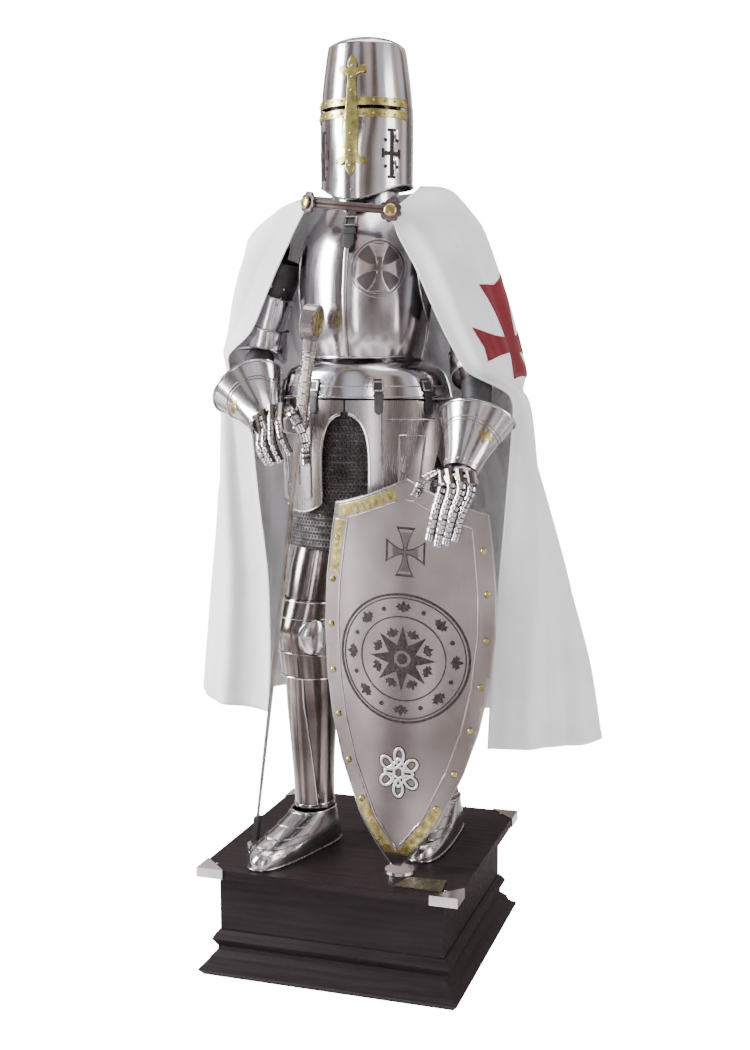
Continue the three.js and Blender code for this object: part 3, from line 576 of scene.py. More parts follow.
# ------- mantle: one sheet of wool from its right edge, round the back, to its left edge
mantle = {
    "rows": [  # right edge, right side, middle of the back, left side, left edge, depth of the folds
        ((-92, -128, 1704), (-128, -12, 1738), (0, 132, 1750), (132, -12, 1752), (102, -128, 1688), 0),
        ((-125, -118, 1655), (-198, 0, 1716), (0, 158, 1700), (196, 0, 1742), (112, -126, 1640), 5),
        ((-170, -106, 1570), (-278, 8, 1650), (0, 182, 1600), (270, 6, 1662), (152, -126, 1568), 9),
        ((-246, -76, 1437), (-312, 24, 1515), (0, 198, 1480), (310, 15, 1520), (200, -122, 1462), 12),
        ((-316, -48, 1380), (-345, 46, 1395), (0, 206, 1390), (340, 18, 1400), (236, -118, 1392), 14),
        ((-336, 4, 1335), (-360, 64, 1345), (0, 210, 1340), (352, 20, 1345), (270, -116, 1342), 14),
        ((-322, 34, 1290), (-378, 70, 1290), (0, 214, 1290), (366, 26, 1290), (346, -52, 1292), 15),
        ((-296, 26, 1214), (-388, 72, 1214), (0, 220, 1214), (382, 30, 1214), (346, -24, 1214), 16),
        ((-272, 14, 1040), (-408, 72, 1050), (0, 232, 1040), (420, 36, 1040), (338, -40, 1040), 19),
        ((-246, 4, 860), (-426, 70, 880), (0, 244, 860), (462, 44, 860), (328, -60, 860), 22),
        ((-240, 0, 680), (-442, 68, 715), (0, 254, 680), (504, 52, 685), (318, -74, 680), 24),
        ((-245, 0, 524), (-457, 66, 566), (0, 262, 512), (540, 60, 524), (312, -80, 503), 26),
    ],
    "folds": 9, "small": 0.3, "across": 300, "down": 132, "wall": 2.2, "hem": 16, "hemRise": 0.7,
    "flat": (2.4, 1.3), "area": 1.85, "columns": 400, "wide": 2300, "rowHigh": 150, "threads": (2.3, 1.25),
}


def curveThrough(points, count):
    # a centripetal curve, read at equal steps of its length
    ends = [points[0] * 2 - points[1]] + points + [points[-1] * 2 - points[-2]]
    fine = []
    for a, b, c, d in zip(ends, ends[1:], ends[2:], ends[3:]):
        first, second, third = (b - a).length ** 0.5, (c - b).length ** 0.5, (d - c).length ** 0.5
        leave = ((b - a) / first - (c - a) / (first + second) + (c - b) / second) * second
        arrive = ((c - b) / second - (d - b) / (second + third) + (d - c) / third) * second
        for i in range(40):
            t = i / 40
            fine.append(b * (2 * t ** 3 - 3 * t ** 2 + 1) + leave * (t ** 3 - 2 * t ** 2 + t)
                        + c * (3 * t ** 2 - 2 * t ** 3) + arrive * (t ** 3 - t ** 2))
    fine.append(points[-1])
    lengths = [0.0]
    for a, b in zip(fine, fine[1:]):
        lengths.append(lengths[-1] + (b - a).length)
    read, at = [], 0
    for i in range(count + 1):
        want = lengths[-1] * i / count
        while at < len(fine) - 2 and lengths[at + 1] < want:
            at += 1
        read.append(fine[at].lerp(fine[at + 1], (want - lengths[at]) / max(lengths[at + 1] - lengths[at], 1e-9)))
    return read


def rowCurve(edgeR, sideR, back, sideL, edgeL):
    bay = lambda edge, side: (mix(edge[0], side[0], 0.8), mix(edge[1], side[1], 0.32), mix(edge[2], side[2], 0.5))
    quarter = lambda side: (side[0] * 0.72, mix(side[1], back[1], 0.72), mix(side[2], back[2], 0.55))
    corners = (edgeR, bay(edgeR, sideR), sideR, quarter(sideR), back, quarter(sideL), sideL, bay(edgeL, sideL), edgeL)
    return curveThrough([Vector(corner) for corner in corners], mantle["columns"])


mantleCurves = [rowCurve(*row[:5]) for row in mantle["rows"]]


def mantleBase(across, row):
    last = len(mantleCurves) - 1
    row = min(max(row, 0), last)
    under = min(int(row), last - 1)
    t = row - under
    column = min(max(across, 0), 1) * mantle["columns"]
    left = min(int(column), mantle["columns"] - 1)

    def read(i):
        curve = mantleCurves[min(max(i, 0), last)]
        return curve[left].lerp(curve[left + 1], column - left)

    a, b, c, d = read(under - 1), read(under), read(under + 1), read(under + 2)
    curved = b + ((c - a) * t + (a * 2 - b * 5 + c * 4 - d) * t ** 2 + (b * 3 - a - c * 3 + d) * t ** 3) * 0.5
    return curved.lerp(b.lerp(c, t), 0.3)


def mantlePoint(across, row):
    here = mantleBase(across, row)
    ahead = mantleBase(across + 0.004, row) - mantleBase(across - 0.004, row)
    under = min(int(row), len(mantleCurves) - 2)
    depth = mix(mantle["rows"][under][5], mantle["rows"][under + 1][5], row - under)
    phase = 2 * math.pi * mantle["folds"] * across + 0.6
    wave = math.sin(phase) + 0.18 * math.cos(2 * phase) + mantle["small"] * math.sin(phase * 1.9 + 0.22 * row + 1.1)
    wave += 0.16 * math.sin(phase * 3.3 - 0.35 * row) + 0.5 * noise.noise(Vector((across * 14, row * 0.35, 3)))
    awayFromEdges = math.sqrt(max(math.sin(math.pi * min(max(across, 0), 1)), 0))
    swell = depth * (min(wave, 0.7) - 0.8 * max(0, 1 - row / 9)) * awayFromEdges
    crease = 7.0 * (-0.4 + noise.noise(Vector((across * 12, row * 0.7, 7)))) * max(0, 1 - abs(row - 3) / 4)
    return here + Vector((ahead.y, -ahead.x, 0)).normalized() * (swell + crease)


def onMantle(across, row, lift):
    here = mantlePoint(across, row)
    along = mantlePoint(across + 0.002, row) - mantlePoint(across - 0.002, row)
    down = mantlePoint(across, row + 0.03) - mantlePoint(across, row - 0.03)
    normal = down.cross(along).normalized()
    if normal.dot(Vector((here.x, here.y, 0))) < 0:
        normal = -normal
    return fromDatum(here + normal * lift), normal


def makeMantle():
    bpy.ops.object.select_all(action="DESELECT")
    bpy.ops.mesh.primitive_grid_add(x_subdivisions=mantle["across"], y_subdivisions=mantle["down"], size=1)
    piece = bpy.context.object
    piece.name = "mantle_sheet"
    last = len(mantleCurves) - 1
    for vertex in piece.data.vertices:
        across, row = vertex.co.x + 0.5, (0.5 - vertex.co.y) * last
        # millimetres from the nearest edge
        inset = min(across * mantle["wide"], (1 - across) * mantle["wide"], (last - row) * mantle["rowHigh"])
        rise = mantle["hemRise"] * min(max((mantle["hem"] - inset) / 3, 0), 1)
        vertex.co = onMantle(across, row, rise)[0]
    for corner in piece.data.uv_layers.active.data:
        corner.uv = (corner.uv[0] * mantle["threads"][0], corner.uv[1] * mantle["threads"][1])
    edit(piece)
    bpy.ops.mesh.normals_make_consistent(inside=False)
    leaveEdit()
    wall = piece.modifiers.new("wall", "SOLIDIFY")
    wall.thickness = mantle["wall"] / 1000
    wall.offset = 0
    applyAll(piece)
    for face in piece.data.polygons:
        face.use_smooth = True
    return dress(piece, whiteWool, "suit", ["mantle_front_R", "mantle_back", "mantle_front_L"])


badge = {"across": 0.87, "row": 3.98, "halfAcross": 0.077, "halfRow": 1.3, "waist": 16, "end": 42, "thick": 1.2}


def makeBadge():
    # the red cross is drawn on a square of 200 units and follows the cloth
    piece = cutShape("mantle_badge", [patteeArms(100, badge["waist"], badge["end"], 1.5, dip=9)], badge["thick"], 5)
    surface = lambda x, y, lift: onMantle(badge["across"] + badge["halfAcross"] * x / 100,
                                          badge["row"] - badge["halfRow"] * y / 100, lift)
    layOn(piece, surface, mantle["wall"] / 2 + 0.5)
    layer = piece.data.uv_layers.new(name="UVMap")
    for loop, corner in zip(piece.data.loops, layer.data):
        place = piece.data.vertices[loop.vertex_index].co
        corner.uv = (place.x + place.y, place.z)
    return dress(smooth(piece), redWool, "suit", ["mantle_cross"])


mantleSheet = makeMantle()
redCross = makeBadge()
print("mantle hung")


# ------- clasp: two leather rosettes with bosses, a double cord between them and the hanging end
clasp = {"rosettes": {"R": ((-85, -138, 1711), (-0.55, -0.8, 0.1)), "L": ((100, -138, 1688), (0.25, -0.95, 0.1))},
         "petals": 9, "petal": 25, "boss": 14}


def makeRosette(side):
    (x, y, z), outward = clasp["rosettes"][side]
    count = clasp["petals"] * 8
    edge = []
    for i in range(count):
        lobe = clasp["petal"] * (0.86 + 0.14 * abs(math.sin(math.pi * clasp["petals"] * i / count)))
        edge.append((lobe * math.cos(2 * math.pi * i / count), lobe * math.sin(2 * math.pi * i / count)))
    leather = cutShape("rosette_leather_" + side, [edge], 7, soften=1.5)
    place = facing(fromDatum((x, y + 3, z)), Vector(outward).normalized())
    leather.data.transform(place)
    dress(smooth(leather), brownLeather, "suit", ["rosette_" + side])
    parts = []
    for size, rise in ((clasp["boss"], 7), (clasp["boss"] * 0.62, 9.5), (clasp["boss"] * 0.25, 12)):
        dome = makeStud(size, 0.28)
        dome.data.transform(Matrix.Translation((0, 0, rise / 1000)))
        parts.append(dome)
    beads = [Matrix.Translation((0.0105 * math.cos(a), 0.0105 * math.sin(a), 0.0092))
             for a in [math.pi / 6 * i for i in range(12)]]
    parts.append(copiesOf(makeStud(1.6), beads, "beads"))
    boss = joinAll(parts, "rosette_boss_" + side)
    boss.data.transform(place)
    return dress(smooth(boss, 50), brassMetal, "suit")


for side in ("R", "L"):
    makeRosette(side)
for z, name in ((5, "upper"), (-4, "lower")):
    points = curveThrough([Vector(p) for p in ((-84, -141, 1712 + z), (-56, -146, 1707 + z), (8, -156, 1699 + z),
                                               (72, -147, 1692 + z), (98, -142, 1689 + z))], 24)
    roll("clasp_cord_" + name, [fromDatum(p) for p in points], 5, brownLeather, sides=3)


def strapShape(width, length, point=8):
    half = width / 2
    return [(-half, 0), (half, 0), (half, -length + point), (half * 0.5, -length + 2), (0, -length),
            (-half * 0.5, -length + 2), (-half, -length + point)]


def makeStrap(name, surface, width, length, lift, buckleAt):
    half = width / 2
    outer = box(-half - 3, buckleAt - 11, half + 3, buckleAt + 11)
    inner = box(-half + 1, buckleAt - 7.5, half - 1, buckleAt + 7.5)
    keeper = box(-half - 2, buckleAt - 24, half + 2, buckleAt - 17)
    plateOn(surface, name, [strapShape(width, length)], 2.8, blackLeatherAndShade, lift, 8, 0.5)
    plateOn(surface, name + "_buckle", [outer, inner], 3.4, satinSteel, lift + 2, 8, 0.8)
    plateOn(surface, name + "_keeper", [keeper], 2.6, blackLeatherAndShade, lift + 1.6, 6, 0.6)


makeStrap("pendant_strap", roundSurface(chestForm, 3, 1688), 16, 84, 14, -28)
print("clasp done")


# ------- helm: brass cross and bands, rivets, breaths drawn as painted shade, rim
helm = {"slit": (1905, 1925), "band": 17, "lip": 6, "bandEnd": 72, "bar": (1768, 2028), "upper": 11, "lower": 16,
        "breathAt": 50, "breathHigh": 1818, "centre": 1896, "rivetsFrom": 1900, "radius": 103, "chin": (1755, 37)}


def fleurHalf(bar, up):
    # half outline of a fleur, from its point inwards
    half = [(0, 0), (7, 9), (11, 18), (11, 25), (8, 31), (14, 28), (22, 24), (30, 25), (34, 31), (32, 38), (26, 41),
            (20, 40), (bar + 1, 45), (bar, 58)]
    return [(x, y * up) for x, y in half]


def makeHelmCross():
    low, high = helm["bar"]
    foot = [(x, low + y) for x, y in fleurHalf(helm["lower"], 1)]
    top = [(x, high - y) for x, y in fleurHalf(helm["upper"] * 0.9, 1)]
    middle = [(helm["lower"], 1880), (helm["upper"], 1932)]
    right = foot + middle + list(reversed(top))
    loop = right + [(-x, y) for x, y in reversed(right[1:-1])]
    centre = helm["centre"]
    bar = cutShape("bar", [[(x, y - centre) for x, y in loop]], 3, 7, 0.7)
    surface = roundSurface(helmForm, 0, centre)
    layOn(bar, surface, 3.4)
    slitLow, slitHigh = helm["slit"]
    bands = []
    reach = math.radians(helm["bandEnd"]) * helm["radius"]
    for low, high in ((slitHigh - helm["lip"], slitHigh - helm["lip"] + helm["band"]),
                      (slitLow + helm["lip"] - helm["band"], slitLow + helm["lip"])):
        tip = 13
        middle = (low + high) / 2 - centre
        edge = [(-reach, low - centre), (reach, low - centre), (reach + 5, low - centre - 2), (reach + tip, middle),
                (reach + 5, high - centre + 2),
                (reach, high - centre), (-reach, high - centre), (-reach - 5, high - centre + 2),
                (-reach - tip, middle), (-reach - 5, low - centre - 2)]
        bands.append(layOn(cutShape("band", [edge], 1.6, 7, 0.4), surface, 2.0))
    piece = joinAll([bar] + bands, "helm_brass_cross")
    return dress(smooth(piece), brassMetal, "helm", ["helm_cross"])


makeHelmCross()
rivetsFrom = helm["rivetsFrom"]
helmRound = roundSurface(helmForm, 0, rivetsFrom)
slitLow, slitHigh = helm["slit"]
bandSpots = [(x, z - rivetsFrom) for z in (slitHigh + 4, slitLow - 4) for x in range(-120, 121, 24) if abs(x) > 12]
studs("helm_band_rivets", helmRound, bandSpots, 3.0, 3.4, brassMetal, "helm")
studs("helm_bar_rivets", helmRound, [(0, z - rivetsFrom) for z in (1790, 1822, 1858, 1950, 1978, 2002)], 3.2, 6.2,
      satinSteel, "helm")
sideSpots = [(x, z - rivetsFrom) for x in (-160, 160) for z in (1770, 1800, 1830, 1860, 1886)] + [(2, -162)]
studs("helm_side_rivets", helmRound, sideSpots, 3.2, 1.6, satinSteel, "helm")


def makeBreathShade():
    # the breaths are not cut through: dark discs and slots laid on the face plate are painted shade for the openings
    parts = []
    for azimuth in (-helm["breathAt"], helm["breathAt"]):
        surface = roundSurface(helmForm, azimuth, helm["breathHigh"])
        for x in (-15, 15):
            for y in (-28, 28):
                parts.append(layOn(cutShape("hole", [ring(4.2, 14, x, y)], 0.5, 0), surface, 1.5))
        for x, y, wide, high in ((0, 50, 20, 6), (0, -50, 20, 6), (-21, 0, 6, 20), (21, 0, 6, 20), (0, 0, 8, 98),
                                 (-11, 0, 16, 8), (11, 0, 16, 8)):
            slot = box(x - wide / 2, y - high / 2, x + wide / 2, y + high / 2)
            parts.append(layOn(cutShape("end", [slot], 0.5, 5), surface, 2.4 if high == 98 else 2.2))
    return dress(joinAll(parts, "helm_breath_painted_shade"), engravedAndShade, "helm")


makeBreathShade()
chin = lambda azimuth: helm["chin"][0] - helm["chin"][1] * max(0, math.cos(math.radians(azimuth))) ** 3
rim = trail(helmForm, range(0, 360, 5), chin, 1.0)
roll("helm_rim", rim, 2.4, satinSteel, "helm", closed=True)
print("helm dressed")


# ------- breast: keel with a painted highlight and a painted shadow, rolled edges, roundel
breast = {"roundelAt": (28.5, 1568), "roundel": 64, "keel": (1378, 1700)}
# the keel bead is brighter steel than the plate, a painted highlight along the ridge; the dark line beside it is
# painted shadow
keel = [onForm(chestForm, 0, z, 1.8)[0] for z in range(*breast["keel"], 8)]
roll("breast_keel_painted_highlight", keel, 2.6, bladeSteelAndHighlight)
roll("breast_keel_shadow", [onForm(chestForm, 2.4, z, 1.0)[0] for z in range(*breast["keel"], 8)], 1.3, etchedSteelAndShadow)


def armholeEdge(t):
    return 87 if t > 0.93 else 87 - 20 * math.sin(math.pi * max(0, (t - 0.25) / 0.75)) ** 0.8


for sign, side in ((-1, "R"), (1, "L")):
    edge = [onForm(chestForm, sign * armholeEdge(i / 40), mix(1374, 1704, i / 40), 0.8)[0] for i in range(37)]
    roll("breast_roll_" + side, edge, 2.6, polishedSteel)
roll("breast_waist_roll", trail(chestForm, range(-84, 85, 4), 1376), 2.6, polishedSteel)
roll("breast_neck_roll", trail(chestForm, range(-84, 85, 4), 1703), 3.0, polishedSteel)


def makeRoundel():
    surface = roundSurface(chestForm, *breast["roundelAt"])
    size = breast["roundel"]
    plateOn(surface, "roundel_ground", [ring(size * 0.9, 48)], 0.5, etchedSteelAndShadow, 1.6, 7, 0.0)
    rings = [cutShape("ring", [ring(size, 64), ring(size * 0.93, 64)], 1.6, 8, 0.4),
             cutShape("ring", [ring(size * 0.88, 64), ring(size * 0.83, 64)], 1.4, 8, 0.3)]
    cross = cutShape("cross", [patteeArms(size * 0.8, size * 0.1, size * 0.42, 1.9)], 1.6, 6, 0.5)
    for part in rings + [cross]:
        layOn(part, surface, 1.7)
    piece = joinAll(rings + [cross], "roundel_relief")
    return dress(smooth(piece), polishedSteel)


makeRoundel()
print("breast dressed")


# ------- waist: straps and buckles, tasset borders and panels, mail
waist = {"straps": (-58, -22, 22, 58), "strapTop": 1328, "archTop": 0.87}
for i, azimuth in enumerate(waist["straps"]):
    makeStrap(f"tasset_strap_{i}", roundSurface(skirtForm, azimuth, waist["strapTop"]), 18, 78, 2.2, -16)


def archEdge(t):
    return 0.5 + 16 * (1 - (t / waist["archTop"]) ** 5) ** 0.5 if t < waist["archTop"] else 0.5


for sign, side in ((-1, "R"), (1, "L")):
    steps = [i / 60 for i in range(53)]
    edge = [onForm(skirtForm, sign * archEdge(t), mix(1052, 1282, t), 1.2)[0] for t in steps]
    roll("tasset_roll_" + side, edge, 3.2, polishedSteel)
    low = [onForm(skirtForm, sign * mix(16.5, 60, s / 30), 1052 - 22 * math.sin(math.pi * (s / 30) ** 0.8), 1.2)[0]
           for s in range(31)]
    roll("tasset_hem_" + side, low, 2.4, satinSteel)
    border = [(24, 1262), (24.5, 1200), (25, 1120), (25, 1066), (28, 1058), (56, 1058)]
    roll("tasset_line_" + side, [onForm(skirtForm, sign * a, z, 2.6)[0] for a, z in border], 2.0, polishedSteel)
    panel = [(36, 1090), (52, 1090), (56, 1205), (36, 1205)]
    fine = [(mix(a[0], b[0], k / 6), mix(a[1], b[1], k / 6)) for a, b in zip(panel, panel[1:] + panel[:1])
            for k in range(6)]
    roll("tasset_panel_" + side, [onForm(skirtForm, sign * a, z, 2.6)[0] for a, z in fine], 2.2, polishedSteel,
         closed=True)
    bar = trail(skirtForm, [sign * a for a in range(26, 66, 3)], 1240, 1.5)
    roll("tasset_bar_" + side, bar, 2.0, polishedSteel)
for z in (1289, 1312):
    roll(f"fauld_line_{z}", trail(skirtForm, range(-86, 87, 3), z, 1.3), 1.4, polishedSteel)
    roll(f"culet_line_{z}", trail(skirtForm, range(94, 267, 3), z, 1.3), 1.4, polishedSteel)

mail = {"pitch": 9.4, "row": 8.0, "ring": 4.7, "wire": 0.85, "lean": 24, "low": 948, "high": 1276}


def makeMail():
    # two leaning rings make the unit, arrayed flat and then wrapped round the skirt by arc length
    lengths = [0.0]
    for i in range(360):
        lengths.append(lengths[-1] + (formPoint(mailForm, i + 1, 1100) - formPoint(mailForm, i, 1100)).length)
    count = round(lengths[-1] / mail["pitch"])
    pitch = lengths[-1] / count
    bpy.ops.object.select_all(action="DESELECT")
    pair = []
    for x, y, lean in ((0, 0, mail["lean"]), (pitch / 2, mail["row"], -mail["lean"])):
        bpy.ops.mesh.primitive_torus_add(major_segments=10, minor_segments=3, major_radius=mail["ring"] / 1000,
                                         minor_radius=mail["wire"] / 1000,
                                         location=(x / 1000, y / 1000, 0), rotation=(math.radians(lean), 0, 0))
        pair.append(bpy.context.object)
    unit = joinAll(pair, "mail_half")
    settle(unit)
    rows = round((mail["high"] - mail["low"]) / mail["row"] / 2)
    halves = []
    for half in (0, 1):
        piece = addObject(f"mail_rings_{half}", unit.data.copy())
        columns = count // 2 + (count % 2) * half
        for number, step in ((columns, (pitch / 1000, 0, 0)), (rows, (0, 2 * mail["row"] / 1000, 0))):
            array = piece.modifiers.new("array", "ARRAY")
            array.count = number
            array.use_relative_offset = False
            array.use_constant_offset = True
            array.constant_offset_displace = step
        applyAll(piece)
        start = half * (count // 2) * pitch
        for vertex in piece.data.vertices:
            x, y, z = (1000 * value for value in vertex.co)
            want = (x + start) % lengths[-1]
            degree = min(int(want / lengths[-1] * 360), 359)
            while degree > 0 and lengths[degree] > want:
                degree -= 1
            while degree < 359 and lengths[degree + 1] < want:
                degree += 1
            azimuth = degree + (want - lengths[degree]) / (lengths[degree + 1] - lengths[degree])
            vertex.co = onForm(mailForm, azimuth, mail["low"] + y, 5.2 + z)[0]
        for face in piece.data.polygons:
            face.use_smooth = True
        halves.append(dress(piece, mailSteel))
    bpy.data.objects.remove(unit)
    return halves


makeMail()
print("waist and mail done")


# ------- limbs: frames along each limb, then cuffs, elbows, gloves and finger plates
joints = {
    "R": {"ankle": (-116, -36, 318), "knee": (-128, -48, 742), "hip": (-86, -8, 1075), "shoulder": (-202, 0, 1600),
          "elbow": (-266, 14, 1404),
          "wrist": (-172, -172, 1222), "cuffMouth": (-240, -104, 1292), "knuckle": (-150, -205, 1230),
          "ground": (-113, -50), "turned": -14,
          "frontOfCuff": (-0.13, -0.81, 0.58), "backOfHand": (-0.4, -0.1, 0.91), "overFingers": (-0.75, -0.5, 0.5),
          "couter": 1.0},
    "L": {"ankle": (150, 112, 318), "knee": (132, 42, 742), "hip": (86, -5, 1075), "shoulder": (202, 0, 1600),
          "elbow": (270, -26, 1350),
          "wrist": (276, -206, 1130), "cuffMouth": (296, -102, 1262), "knuckle": (276, -240, 1102),
          "ground": (152, 118), "turned": 3,
          "frontOfCuff": (-0.1, -0.85, 0.5), "backOfHand": (-0.1, -0.85, 0.5), "overFingers": (-0.1, -0.9, 0.35),
          "couter": 0.92},
}
cuffForm = formOf("z wide front back",
    (3, 36, 30), (40, 42, 36, 34), (85, 58, 52, 38), (142, 86, 76, 43))
handForm = formOf("z wide front",
    (-2, 34, 22), (30, 40, 24), (52, 43, 22))
upperArmForm = formOf("z wide front",
    (36, 50, 52), (80, 49, 49), (122, 48, 48))
sleeveForm = formOf("z wide front",
    (0, 50, 50), (40, 50, 50), (80, 43, 43), (190, 40, 40))
fingers = {
    "R": {"index": ((-131, -210, 1233), (-117, -229, 1202), (-101, -226, 1168)),
          "middle": ((-149, -210, 1226), (-138, -231, 1190), (-121, -229, 1152)),
          "ring": ((-166, -205, 1218), (-158, -226, 1182), (-141, -223, 1146)),
          "little": ((-181, -196, 1208), (-176, -212, 1176), (-160, -208, 1146)),
          "thumb": ((-98, -222, 1254), (-66, -232, 1206), (-60, -232, 1146))},
    "L": {"index": ((252, -260, 1104), (242, -274, 1060), (229, -275, 1000)),
          "middle": ((272, -260, 1104), (261, -274, 1056), (247, -274, 988)),
          "ring": ((293, -257, 1104), (280, -272, 1058), (264, -272, 992)),
          "little": ((313, -252, 1100), (300, -266, 1062), (283, -269, 1000)),
          "thumb": ((236, -236, 1132), (214, -268, 1122), (200, -284, 1092))},
}


def formPlate(name, form, left, right, low, high, lift, thick, material, place=None, cols=24, rows=6):
    # a bent plate on a form, with rounded edges
    bpy.ops.object.select_all(action="DESELECT")
    bpy.ops.mesh.primitive_grid_add(x_subdivisions=cols, y_subdivisions=rows, size=1)
    piece = bpy.context.object
    piece.name = name
    for vertex in piece.data.vertices:
        s, t = vertex.co.x + 0.5, vertex.co.y + 0.5
        bottom, top = (low(s) if callable(low) else low), (high(s) if callable(high) else high)
        vertex.co = onForm(form, mix(left, right, s), mix(bottom, top, t), lift, place)[0]
    edit(piece)
    if right < left:
        bpy.ops.mesh.flip_normals()
    leaveEdit()
    wall = piece.modifiers.new("wall", "SOLIDIFY")
    wall.thickness = thick / 1000
    wall.offset = 1
    edges = piece.modifiers.new("edges", "BEVEL")
    edges.width = thick / 3500
    edges.segments = 2
    edges.limit_method = "ANGLE"
    edges.angle_limit = math.radians(60)
    applyAll(piece)
    return dress(smooth(piece), material)


lame = {"length": 8.6, "gap": 2.2, "wide": 10.7, "narrow": 9.9, "thick": 1.1}


def fingerLames(side, sign, hand, palm):
    plates = []
    for i, (name, path) in enumerate(fingers[side].items()):
        thumb = name == "thumb"
        root = hand @ formPoint(handForm, -sign * (-80 if thumb else mix(-50, 50, i / 3)), 28 if thumb else palm - 3)
        points = curveThrough([root] + [Vector(p) for p in path], 60)
        lengths = [0.0]
        for a, b in zip(points, points[1:]):
            lengths.append(lengths[-1] + (b - a).length)
        count = round(lengths[-1] / (lame["length"] + lame["gap"]))
        step = lengths[-1] / count
        for number in range(count + 1):
            at = min(step * (number + 0.15), lengths[-1] - 0.5)
            k = next(j for j in range(1, 61) if lengths[j] >= at)
            spot, ahead = points[k], (points[k] - points[k - 1]).normalized()
            up = Vector((0.3, -0.9, 0.2) if thumb else joints[side]["overFingers"])
            up = (up - ahead * up.dot(ahead)).normalized()
            turn = Matrix((ahead.cross(up), ahead, up)).transposed().to_4x4()
            size = mix(1.0, 0.82, number / count)
            plates.append(Matrix.Translation(fromDatum(spot)) @ turn @ Matrix.Diagonal((size, 1, size, 1)))
    bpy.ops.object.select_all(action="DESELECT")
    bpy.ops.mesh.primitive_cone_add(vertices=20, radius1=lame["wide"] / 1000, radius2=lame["narrow"] / 1000,
                                    depth=lame["length"] / 1000,
                                    end_fill_type="NOTHING", rotation=(math.radians(-90), 0, 0))
    model = bpy.context.object
    settle(model)
    edit(model)
    bpy.ops.mesh.bisect(plane_co=(0, 0, 0.0025), plane_no=(0, 0, 1), clear_inner=True)
    leaveEdit()
    wall = model.modifiers.new("wall", "SOLIDIFY")
    wall.thickness = lame["thick"] / 1000
    wall.offset = 1
    edges = model.modifiers.new("edges", "BEVEL")
    edges.width = 0.0004
    edges.segments = 1
    applyAll(model)
    return dress(smooth(copiesOf(model, plates, "finger_lames_" + side)), polishedSteel)


def dressArm(side):
    limb = joints[side]
    sign = -1 if side == "R" else 1
    cuff = alongLimb(limb["wrist"], limb["cuffMouth"], limb["frontOfCuff"])
    around = range(0, 360, 6)
    roll("cuff_rim_" + side, trail(cuffForm, around, 140.5, 0.8, cuff), 2.8, polishedSteel, closed=True)
    for i, z in enumerate((96, 103)):
        wavy = lambda a: z + 6 * math.cos(math.radians(2 * a))
        roll(f"cuff_line_{side}_{i}", trail(cuffForm, around, wavy, 1.4, cuff), 1.3, satinSteel, closed=True)
    studs("cuff_rivets_" + side, roundSurface(cuffForm, 0, 20, cuff), [(x, 0) for x in range(-45, 46, 15)], 2.6, 1.6,
          polishedSteel)
    lily = [(x * 0.55, (y - 26) * 0.55) for x, y in fleurHalf(6, 1)]
    lily = lily + [(-x, y) for x, y in reversed(lily[1:])]
    outside = roundSurface(cuffForm, sign * 52, 78, cuff)
    plateOn(outside, "cuff_lily_" + side, [lily], 0.8, giltGround, 1.6, 6, 0.2)

    hand = alongLimb(limb["wrist"], limb["knuckle"], limb["backOfHand"])
    palm = (Vector(limb["wrist"]) - Vector(limb["knuckle"])).length - 8
    start = 6
    while start < palm - 2:
        lift = mix(1.5, 9.0, min(start / palm, 1))
        formPlate(f"hand_lame_{side}_{round(start)}", handForm, -86, 86, start, start + 8.5, lift, 1.4, polishedSteel,
                  hand, 22, 2)
        start += 7.6
    fingerLames(side, sign, hand, palm)

    upper = alongLimb(limb["elbow"], limb["shoulder"], Vector(limb["wrist"]) - Vector(limb["elbow"]))
    size = limb["couter"]
    elbowForm = [{"z": -30, "wide": 63 * size, "front": 63 * size}, {"z": 0, "wide": 64 * size, "front": 65 * size},
                 {"z": 28, "wide": 59 * size, "front": 60 * size}, {"z": 46, "wide": 54 * size, "front": 55 * size}]
    bell = lambda a: -30 + 36 * max(0, math.cos(math.radians(a)))
    roll("couter_rim_" + side, trail(elbowForm, around, bell, 4.8, upper), 2.6, polishedSteel, closed=True)
    roll("couter_top_" + side, trail(elbowForm, around, 45, 4.8, upper), 2.2, polishedSteel, closed=True)
    roll("rerebrace_rim_" + side, trail(upperArmForm, around, 121, 0.8, upper), 2.2, polishedSteel, closed=True)
    studs("rerebrace_rivets_" + side, roundSurface(upperArmForm, 0, 108, upper),
          [(x, 0) for x in (-90, -45, 0, 45, 90)], 3.0, 1.6, satinSteel)
    hanging = alongLimb(limb["shoulder"], limb["elbow"], (0, -1, 0))
    reach = (Vector(limb["shoulder"]) - Vector(limb["elbow"])).length - 58
    studs("sleeve_rivets_" + side, roundSurface(sleeveForm, 0, 0, hanging),
          [(x, y) for x in (-40, -8, 24) for y in (60, 84, 108) if y < reach], 3.4, 2.5, polishedSteel)


for side in ("R", "L"):
    dressArm(side)
print("arms and hands dressed")


# ------- sword: gilded strip, ringed grip, wheel pommel with a cross
sword = {"foot": (-231, -134, 244), "top": (-52, -200, 1490), "guard": 985, "gilt": (640, 975)}


